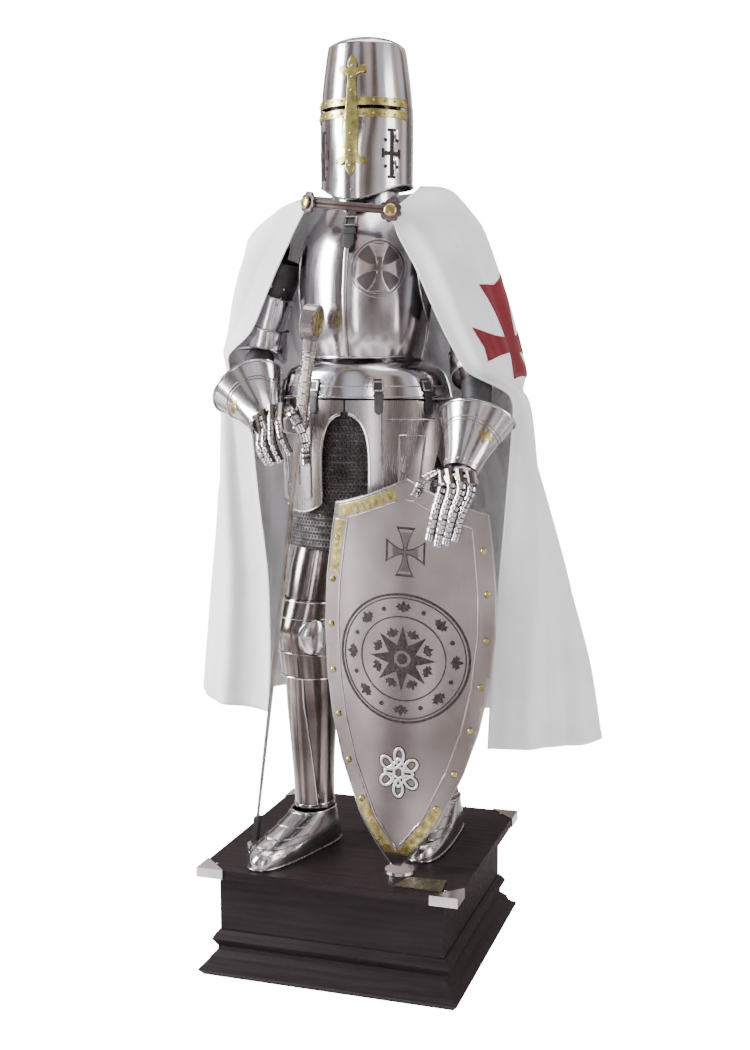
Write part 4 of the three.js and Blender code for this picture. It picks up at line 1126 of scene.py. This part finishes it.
def dressSword():
    place = alongLimb(sword["foot"], sword["top"], (1, 0, 0))
    length = (Vector(sword["top"]) - Vector(sword["foot"])).length
    spot = lambda x, y, z: fromDatum(place @ Vector((x, y, z)))
    for face in (-1, 1):
        strip = cutShape("sword_gilding",
                         [[(-5, sword["gilt"][0]), (5, sword["gilt"][0]), (6, sword["gilt"][1]),
                           (-6, sword["gilt"][1])]], 1.0, 0, 0.2)
        for vertex in strip.data.vertices:
            x, y, z = (1000 * v for v in vertex.co)
            vertex.co = spot(x, face * (2.6 - abs(x) * 0.12 + z * 0.7), y)
        if face > 0:
            edit(strip)
            bpy.ops.mesh.flip_normals()
            leaveEdit()
        dress(strip, brassMetal)
    ringAt = lambda z, r: [spot(r * math.cos(a), r * math.sin(a), z) for a in [math.pi / 12 * i for i in range(24)]]
    for i, z in enumerate((sword["guard"] + 16, 1008, 1014, 1040, 1066, 1092, 1118, 1140, 1146, 1156)):
        roll(f"grip_ring_{i}", ringAt(z, 14.2), 1.9 if i in (0, 2, 8, 9) else 1.2, satinSteel, closed=True)
    beads = [Matrix.Translation(spot(14 * math.cos(a), 14 * math.sin(a), z)) @ Matrix.Diagonal((1, 1, 1.6, 1))
             for z in (1027, 1053, 1079, 1105, 1129) for a in [math.pi / 4 * i for i in range(8)]]
    dress(smooth(copiesOf(makeStud(2.4, 1.0), beads, "grip_beads")), brassMetal)
    for face in (-1, 1):
        wheel = lambda r: [spot(r * math.cos(a), face * 13.2, length - 40 + r * math.sin(a))
                           for a in [math.pi / 20 * i for i in range(40)]]
        roll(f"pommel_ring_{face + 1}", wheel(37), 2.6, satinSteel, closed=True)
        roll(f"pommel_inner_{face + 1}", wheel(26), 1.4, brassMetal, closed=True)
        cross = cutShape(f"pommel_cross_{face + 1}", [patteeArms(23, 3, 11, 1.6)], 1.6, 0, 0.4)
        for vertex in cross.data.vertices:
            x, y, z = (1000 * v for v in vertex.co)
            vertex.co = spot(x * -face, face * (13 + z), length - 40 + y)
        dress(smooth(cross), brassMetal)
    for x in (-30, 30):
        end = smooth(copiesOf(makeStud(8, 1.0), [Matrix.Translation(spot(x, 0, sword["guard"] + 6))],
                              f"guard_end_{x + 30}"))
        dress(end, satinSteel)


dressSword()
print("sword dressed")


# ------- shield: border, rivets, gilt corners, medallion, cross and knot
shieldOutline = [(0, 5), (55, 50), (110, 87), (232, 138), (330, 166), (430, 183), (540, 191), (640, 189), (740, 178),
                 (812, 168), (900, 162)]
shield = {"foot": (132, -188, 246), "peak": (178, -262, 1126), "shoulder": 812, "top": 880, "bulge": 46,
          "widest": 191, "wall": 3.0,
          "border": 34, "medal": 487, "medalSize": 146, "crossAt": 724, "knotAt": 226,
          "rivets": (150, 233, 334, 433, 537, 640, 735)}
shieldPlace = alongLimb(shield["foot"], shield["peak"], (0, -1, 0))


def onShield(x, z, lift):
    bend = shield["bulge"] / shield["widest"] ** 2
    normal = Vector((2 * bend * x, -1, 0)).normalized()
    spot = Vector((x, bend * x * x, z)) + normal * (shield["wall"] + lift)
    return fromDatum(shieldPlace @ spot), shieldPlace.to_3x3() @ normal


def halfWidth(z):
    z = min(max(z, 0), 899)
    for (low, a), (high, b) in zip(shieldOutline, shieldOutline[1:]):
        if z <= high:
            return mix(a, b, (z - low) / (high - low))
    return shieldOutline[-1][1]


def edgeStretch(z):
    # how much wider the border measures across where the outline leans
    return math.sqrt(1 + ((halfWidth(z + 8) - halfWidth(z - 8)) / 16) ** 2)


def topLine(x):
    s = min(abs(x) / halfWidth(830), 1)
    return shield["shoulder"] + (shield["top"] - shield["shoulder"]) * (1 - s) ** 1.2


def insetLoop(inset):
    wide = lambda z: halfWidth(z) - inset * edgeStretch(z)
    right = [(wide(z), z) for z in range(7, 880, 6) if wide(z) > 1.5]
    right = [(x, z) for x, z in right if z < topLine(x) - inset * 1.08]
    corner = right[-1][0]
    top = [(corner * (1 - i / 20), topLine(corner * (1 - i / 20)) - inset * (1.08 if i < 19 else 1.2))
           for i in range(0, 21)]
    tip = [(0, right[0][1] - 4 - inset * 0.3)] if inset > 5 else [(0, 7)]
    loop = tip + right + top
    return loop + [(-x, z) for x, z in reversed(loop[1:-1])]


outerLoop, innerLoop = insetLoop(0.8), insetLoop(shield["border"])
plateOn(onShield, "shield_border", [outerLoop, innerLoop], 1.5, shieldSteel, 0.0, 9, 0.5)
roll("shield_edge", [onShield(x, z, -1.2)[0] for x, z in insetLoop(0.2)], 2.4, polishedSteel, closed=True)
roll("shield_inner_bead", [onShield(x, z, 0.4)[0] for x, z in insetLoop(shield["border"] + 1)], 1.6, polishedSteel,
     closed=True)
rivetSpots = [(side * (halfWidth(z) - shield["border"] * 0.5 * edgeStretch(z)), z)
              for z in shield["rivets"] for side in (-1, 1)]
studs("shield_rivets", onShield, rivetSpots, 7.5, 1.4, brassMetal, height=0.75)


def borderBand(low, high, side, inner=5.0):
    # a strip of the border between two heights, on one side
    zs = [mix(low, high, i / 14) for i in range(15)]
    outside = [(side * (halfWidth(z) - inner * edgeStretch(z)), z) for z in zs]
    inside = [(side * max(halfWidth(z) - (shield["border"] - 4) * edgeStretch(z), 1.5), z) for z in zs]
    return outside + list(reversed(inside))


def leaf(x, y, size, turn):
    shape = [(0, 0), (0.3, 0.22), (0.55, 0.2), (0.5, 0.42), (0.8, 0.5), (0.62, 0.68), (0.5, 0.95), (0.28, 0.75),
             (0, 1.25), (-0.28, 0.75), (-0.5, 0.95), (-0.62, 0.68),
             (-0.8, 0.5), (-0.5, 0.42), (-0.55, 0.2), (-0.3, 0.22)]
    c, s = math.cos(turn), math.sin(turn)
    return [(x + size * (a * c - b * s), y + size * (a * s + b * c)) for a, b in shape]


def gildShield():
    grounds = [borderBand(655, 776, -1), borderBand(34, 150, -1), borderBand(34, 150, 1)]
    xs = [-mix(160, 24, i / 12) for i in range(13)]
    grounds.append([(x, topLine(x) - 6) for x in xs] + [(x, topLine(x) - shield["border"] + 2) for x in reversed(xs)])
    for i, loop in enumerate(grounds):
        plateOn(onShield, f"shield_gilt_{i}", [loop], 0.5, giltGround, 1.35, 8, 0.1)
    leaves = []
    for side in (-1, 1):
        for z in (list(range(664, 770, 17)) if side < 0 else []) + list(range(48, 150, 17)):
            x = side * (halfWidth(z) - 19 * edgeStretch(z))
            leaves.append(leaf(x, z, 11, (0.5 if z % 2 else -0.5) + side * (0.0 if z > 400 else -0.7)))
        for k in range(9 if side < 0 else 0):
            x = side * mix(150, 30, k / 8)
            leaves.append(leaf(x, topLine(x) - 24, 11, side * (1.2 + 0.5 * (-1) ** k)))
    parts = [cutShape("leaf", [loop], 0.9, 0, 0.2) for loop in leaves]
    foliage = layOn(joinAll(parts, "shield_foliage"), onShield, 1.7)
    dress(smooth(foliage), brassMetal)


gildShield()


def makeMedallion():
    middle, size = shield["medal"], shield["medalSize"]
    at = lambda loop: [(x, y + middle) for x, y in loop]
    for i, (outer, inner) in enumerate(((1.0, 0.965), (0.94, 0.922), (0.655, 0.636))):
        plateOn(onShield, f"medal_ring_{i}", [at(ring(size * outer, 96)), at(ring(size * inner, 96))], 0.7, engravedAndShade,
                0.0, 12, 0.1)
    marks = []
    for i in range(16):
        a = 2 * math.pi * i / 16
        reach = size * 0.79
        if i % 2:
            marks.append(ring(size * 0.035, 14, reach * math.cos(a), reach * math.sin(a)))
        else:
            marks.append(leaf(reach * 0.9 * math.cos(a), reach * 0.9 * math.sin(a), size * 0.15, a - math.pi / 2))
    star = []
    for i in range(16):
        a = 2 * math.pi * i / 16 + math.pi / 2
        reach = size * (0.5 if i % 2 == 0 else 0.22)
        star.append((reach * math.cos(a), reach * math.sin(a)))
    parts = [cutShape("mark", [at(loop)], 0.7, 12, 0.1) for loop in marks]
    parts.append(cutShape("star", [at(star), at(ring(size * 0.13, 32))], 0.7, 12, 0.1))
    parts.append(cutShape("eye", [at(ring(size * 0.08, 24))], 0.7, 0, 0.1))
    for i in range(8):
        a = 2 * math.pi * (i + 0.5) / 8 + math.pi / 2
        bud = leaf(size * 0.34 * math.cos(a), size * 0.34 * math.sin(a), size * 0.13, a - math.pi / 2)
        parts.append(cutShape("bud", [at(bud)], 0.7, 0, 0.1))
    piece = layOn(joinAll(parts, "medal_rosette"), onShield, 0.0)
    dress(smooth(piece), engravedAndShade)


makeMedallion()
cross = [(x * 0.8, y + shield["crossAt"]) for x, y in patteeArms(54, 6, 26, 1.7)]
crossIn = [(x * 0.8, y + shield["crossAt"]) for x, y in patteeArms(49, 3, 20, 1.7)]
plateOn(onShield, "shield_cross", [cross, crossIn], 0.7, engravedAndShade, 0.0, 8, 0.1)
plateOn(onShield, "shield_cross_fill",
        [[(x * 0.72, (y - shield["crossAt"]) * 0.86 + shield["crossAt"]) for x, y in crossIn]], 0.5, etchedSteelAndShadow, 0.0,
        8, 0.1)


def makeKnot():
    # an endless knot: a strand with six outer loops and a square strand laid through it, each bright on a dark line
    steps = 260
    strands = []
    for across, swing, turns, up in ((28, 18, 5, 1.22), (27, 5.5, 3, 1.0)):
        strands.append([(across * math.sin(t) + swing * math.sin(-turns * t),
                         up * (across * math.cos(t) + swing * math.cos(-turns * t)))
                        for t in (2 * math.pi * k / steps for k in range(steps))])
    surface = lambda x, y, lift: onShield(x, y + shield["knotAt"], lift)
    for i, (radius, material, lift, flat) in enumerate(((5.6, engravedAndShade, 0.0, 0.16), (2.9, bladeSteelAndHighlight, 0.9, 0.3))):
        for j, strand in enumerate(strands):
            weave = lambda k: 0.35 * math.sin(2 * math.pi * k * (9 if j else 12) / steps + j)
            laid = [(x / 1000, y / 1000, weave(k) / 1000 if i else 0) for k, (x, y) in enumerate(strand)]
            piece = roll(f"shield_knot_{i}_{j}", laid, radius, material, closed=True, sides=1)
            for vertex in piece.data.vertices:
                vertex.co.z *= flat
            smooth(layOn(piece, surface, lift))


makeKnot()
print("shield dressed")


# ------- legs: sabaton lames, greave hinges and edges, knee cops
shinForm = formOf("z wide front back ridge",
    (6, 44, 49, 48, 3), (60, 44, 48, 50, 4), (150, 49, 50, 62, 5), (250, 56, 54, 74, 5), (340, 56, 56, 68, 4),
    (400, 54, 58, 60, 3))
thighForm = formOf("z wide front back",
    (22, 58, 62, 60), (90, 61, 65, 62), (150, 65, 66, 68), (220, 57, 57, 66))
footForm = formOf("z wide front back square",
    (0.5, 51, 240, 68, 2.8), (24, 52, 239, 70, 2.8), (40, 51, 220, 70, 2.6), (56, 48, 165, 68, 2.4),
    (72, 46, 104, 62, 2.2), (86, 46, 62, 56, 2))
kneeTable = formOf("z wide front back",
    (-108, 65, 67, 62), (-50, 66, 72, 62), (0, 68, 84, 64), (45, 69, 76, 64), (80, 66, 72, 64))


def followJoint(form, place, start, middle, end):
    rows = []
    for row in form:
        limb = (Vector(start if row["z"] < 0 else end) - Vector(middle)).normalized() * (abs(row["z"]) + 1e-6)
        spot = place.inverted() @ (Vector(middle) + limb)
        rows.append({**row, "x": spot.x, "y": spot.y})
    return rows


def dressLeg(side):
    limb = joints[side]
    inner = 1 if side == "R" else -1
    turned = math.radians(limb["turned"])
    heading = (math.sin(turned), -math.cos(turned), 0)
    foot = Matrix.Translation((limb["ground"][0], limb["ground"][1], 235)) @ Matrix.Rotation(turned, 4, "Z")
    for i, (low, high) in enumerate(((80, 84), (64, 68), (50, 54), (40, 43))):
        reach = (58, 62, 66, 70)[i]
        points = trail(footForm, range(-reach, reach + 1, 6), lambda a: mix(high, low, abs(a) / reach), 1.4, foot)
        roll(f"sabaton_line_{side}_{i}", points, 1.6, satinSteel)
    roll("sabaton_sole_" + side, trail(footForm, range(0, 360, 5), 4, 0.8, foot), 2.2, satinSteel, closed=True)
    roll("sabaton_top_" + side, trail(footForm, range(0, 360, 8), 84.5, 0.8, foot), 2.4, polishedSteel, closed=True)
    studs("sabaton_rivets_" + side, roundSurface(footForm, 0, 30, foot), [(x, 0) for x in (-100, -70, 70, 100)], 3.0,
          1.6, polishedSteel)

    shin = alongLimb(limb["ankle"], limb["knee"], heading)
    # the dark line along the greave is painted shade in the gap where the front plate meets the side plate
    seam = lambda t: inner * (mix(46, 20, min(1, t * 1.6)) + 1.5)
    dark = [onForm(shinForm, seam(i / 30), mix(14, 395, i / 30), 0.6, shin)[0] for i in range(31)]
    roll("greave_gap_painted_shade_" + side, dark, 1.6, blackLeatherAndShade)
    ridge = [onForm(shinForm, seam(i / 30) - inner * 3, mix(14, 395, i / 30), 1.2, shin)[0] for i in range(31)]
    roll("greave_edge_" + side, ridge, 1.6, polishedSteel)
    for k, (low, high, lift) in enumerate(((-26, -6, -0.6), (-10, 12, 1.0))):
        formPlate(f"ankle_lame_{side}_{k}", shinForm, -179, 179, low, high, lift, 1.4, shadedLegSteel, shin, 60, 3)
    roll("greave_ankle_" + side, trail(shinForm, range(0, 360, 8), 14, 0.8, shin), 2.4, polishedSteel, closed=True)
    roll("greave_top_" + side, trail(shinForm, range(0, 360, 8), 394, 0.8, shin), 2.0, polishedSteel, closed=True)
    for k, z in enumerate((110, 290)):
        flank = roundSurface(shinForm, -150 * inner, z, shin)
        plateOn(flank, f"greave_hinge_{side}_{k}", [box(-14, -9, 14, 9)], 2.2, satinSteel, 1.4, 5, 0.5)
        studs(f"greave_hinge_pins_{side}_{k}", flank, [(-9, 4), (-9, -4), (9, 4), (9, -4)], 2.0, 3.4, polishedSteel)

    bend = alongLimb(limb["knee"], Vector(limb["knee"]) + Vector(limb["hip"]) - Vector(limb["ankle"]), heading)
    kneeForm = followJoint(kneeTable, bend, limb["ankle"], limb["knee"], limb["hip"])
    for k, (z, dip) in enumerate(((-104, 0), (-52, 6), (40, -6), (74, 0))):
        curved = lambda a: z + dip * math.cos(math.radians(a))
        points = trail(kneeForm, range(-116, 117, 6), curved, 1.4, bend)
        roll(f"poleyn_line_{side}_{k}", points, 1.8 if k in (0, 3) else 1.3,
             polishedSteel if k in (0, 3) else satinSteel)
    cop = []
    for i in range(40):
        a = 2 * math.pi * i / 40
        lobes = 1 + 0.09 * math.cos(5 * a)
        cop.append((32 * lobes * math.cos(a), 42 * lobes * math.sin(a)))
    surface = roundSurface(kneeForm, inner * 46, -4, bend)
    disc = cutShape("poleyn_cop_" + side, [cop], 2.6, 7, 0.8)
    for vertex in disc.data.vertices:
        rise = 1 - min((vertex.co.x / 0.034) ** 2 + (vertex.co.y / 0.044) ** 2, 1)
        vertex.co.z += 0.011 * math.sqrt(rise)
    dress(smooth(layOn(disc, surface, 2.0)), polishedSteel)
    studs("poleyn_rivets_" + side, surface, [(0, 0), (-26, 24), (26, 24), (-26, -24), (26, -24)], 3.2, 6.0,
          satinSteel)
    # a dark line below the knee: painted shade in the same gap
    roll("poleyn_dark_" + side, [onForm(kneeForm, inner * 14, z, 1.2, bend)[0] for z in range(-104, -52, 4)], 1.4,
         blackLeatherAndShade)

    thigh = alongLimb(limb["knee"], limb["hip"], heading)
    roll("cuisse_seam_" + side, [onForm(thighForm, inner * 22, z, 1.2, thigh)[0] for z in range(84, 212, 6)], 1.6,
         satinSteel)
    roll("cuisse_top_" + side, trail(thighForm, range(-138, 139, 6), 212, 0.8, thigh), 2.4, polishedSteel)
    for k, z in enumerate((96, 180)):
        roll(f"cuisse_strap_{side}_{k}", trail(thighForm, range(140, 221, 8), z, 1.2, thigh), 5, blackLeatherAndShade)


for side in ("R", "L"):
    dressLeg(side)
print("legs dressed")


# ------- plinth: a screw in each corner cap
def dressPlinth():
    # each screw is drawn in from the corner
    for i in (1, 2, 3, 4):
        node = f"corner_cap_{i}"
        low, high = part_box(node)
        cx, cy = (low[0] + high[0]) / 2, (low[1] + high[1]) / 2
        place = Matrix.Translation((cx - math.copysign(0.004, cx), cy - math.copysign(0.004, cy), high[2]))
        dress(smooth(copiesOf(makeStud(3.2), [place], node + "_screw")), satinSteel)


dressPlinth()
print("plinth dressed")


# ------- room: floor, lights, camera
room = {"floorSize": 80.0, "floorColor": (0.97, 0.97, 0.97), "floorGlow": (0.12, 15.0),
        "mirrored": [(0.38, (0.1, 0.08, 0.08)), (0.5, (0.4, 0.35, 0.34)), (0.6, (1.0, 0.97, 0.95))]}
bpy.ops.object.select_all(action="DESELECT")
bpy.ops.mesh.primitive_plane_add(size=room["floorSize"], location=(0, 0, 0))
floor = bpy.context.object
floor.name = "studio_floor"
floorPaint, floorTree, floorShader = startMaterial("studio_floor", room["floorColor"], 0.0, 0.8)
floorShader.inputs["Emission Color"].default_value = (1, 1, 1, 1)
direct = floorTree.nodes.new("ShaderNodeLightPath")
floorTree.links.new(rangeFrom(floorTree, direct.outputs["Is Camera Ray"], *room["floorGlow"], 0.0, 1.0),
                    floorShader.inputs["Emission Strength"])
underfoot = patternAt(floorTree, 1.1, 1.0)
patchy = rampFrom(floorTree, underfoot.outputs["Fac"], room["mirrored"])
blend = floorTree.nodes.new("ShaderNodeMix")
blend.data_type = "RGBA"
blend.inputs[6].default_value = (*room["floorColor"], 1)
floorTree.links.new(direct.outputs["Is Glossy Ray"], blend.inputs[0])
floorTree.links.new(patchy, blend.inputs[7])
floorTree.links.new(blend.outputs[2], floorShader.inputs["Base Color"])
floor.data.materials.append(floorPaint)
floor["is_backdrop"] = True


def softbox(name, place, aim, size, power, color):
    lamp = bpy.data.lights.new(name, "AREA")
    lamp.shape = "RECTANGLE"
    lamp.size, lamp.size_y = size
    lamp.energy = power
    lamp.color = color
    holder = addObject(name, lamp)
    holder.location = place
    holder.rotation_euler = (Vector(aim) - Vector(place)).to_track_quat("-Z", "Y").to_euler()


softbox("key_left", (-4.0, -2.0, 2.8), (0, 0, 1.2), (1.5, 3.4), 700, (0.93, 0.95, 1.0))
softbox("fill_right", (4.2, -0.6, 2.2), (0, 0, 1.2), (1.6, 3.0), 100, (1.0, 0.95, 0.9))
softbox("top", (0.2, 0.4, 4.6), (0, 0, 1.0), (3.0, 3.0), 130, (1, 1, 1))
softbox("front_strip", (0.9, -4.6, 1.6), (0, 0, 1.2), (0.5, 2.6), 45, (0.95, 0.94, 1.0))

world = bpy.data.worlds.new("studio")
bpy.context.scene.world = world
world.use_nodes = True
worldTree = world.node_tree
around = {"streaks": (1.5, 1.5, 0.28), "size": 0.95, "light": 0.9, "soft": 0.5, "behind": 16.0}
streaks = patternAt(worldTree, around["size"], 1.0, around["streaks"], coordinate="Generated")
shades = rampFrom(worldTree, streaks.outputs["Fac"], [
    (0.3, (0.9, 0.93, 1.0)), (0.4, (0.6, 0.58, 0.6)), (0.45, (0.08, 0.06, 0.06)), (0.5, (0.2, 0.17, 0.165)),
    (0.56, (0.95, 0.8, 0.73)),
    (0.61, (1.0, 1.0, 1.0)), (0.68, (0.72, 0.78, 1.0)), (0.74, (1.0, 1.0, 1.0))])
lit = worldTree.nodes["Background"]
worldTree.links.new(shades, lit.inputs["Color"])
seen = worldTree.nodes.new("ShaderNodeLightPath")
worldTree.links.new(rangeFrom(worldTree, seen.outputs["Is Diffuse Ray"], around["light"], around["soft"], 0.0, 1.0),
                    lit.inputs["Strength"])
plain = worldTree.nodes.new("ShaderNodeBackground")
plain.inputs["Color"].default_value = (0.98, 0.98, 1.0, 1)
plain.inputs["Strength"].default_value = around["behind"]
choose = worldTree.nodes.new("ShaderNodeMixShader")
worldTree.links.new(seen.outputs["Is Camera Ray"], choose.inputs["Fac"])
worldTree.links.new(lit.outputs["Background"], choose.inputs[1])
worldTree.links.new(plain.outputs["Background"], choose.inputs[2])
worldTree.links.new(choose.outputs["Shader"], worldTree.nodes["World Output"].inputs["Surface"])

# place in metres, angles in degrees, lens in millimetres
view = {"place": (1.0082, -3.0665, 1.3836 + datum), "heading": 17.83, "pitch": -6.98, "lens": 48.0}
cameraData = bpy.data.cameras.new("camera")
cameraData.lens = view["lens"]
cameraData.sensor_width = 36
camera = addObject("camera", cameraData)
camera.location = view["place"]
camera.rotation_euler = (math.radians(90 + view["pitch"]), 0, math.radians(view["heading"]))
bpy.context.scene.camera = camera
print("room and camera ready")

low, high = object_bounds()
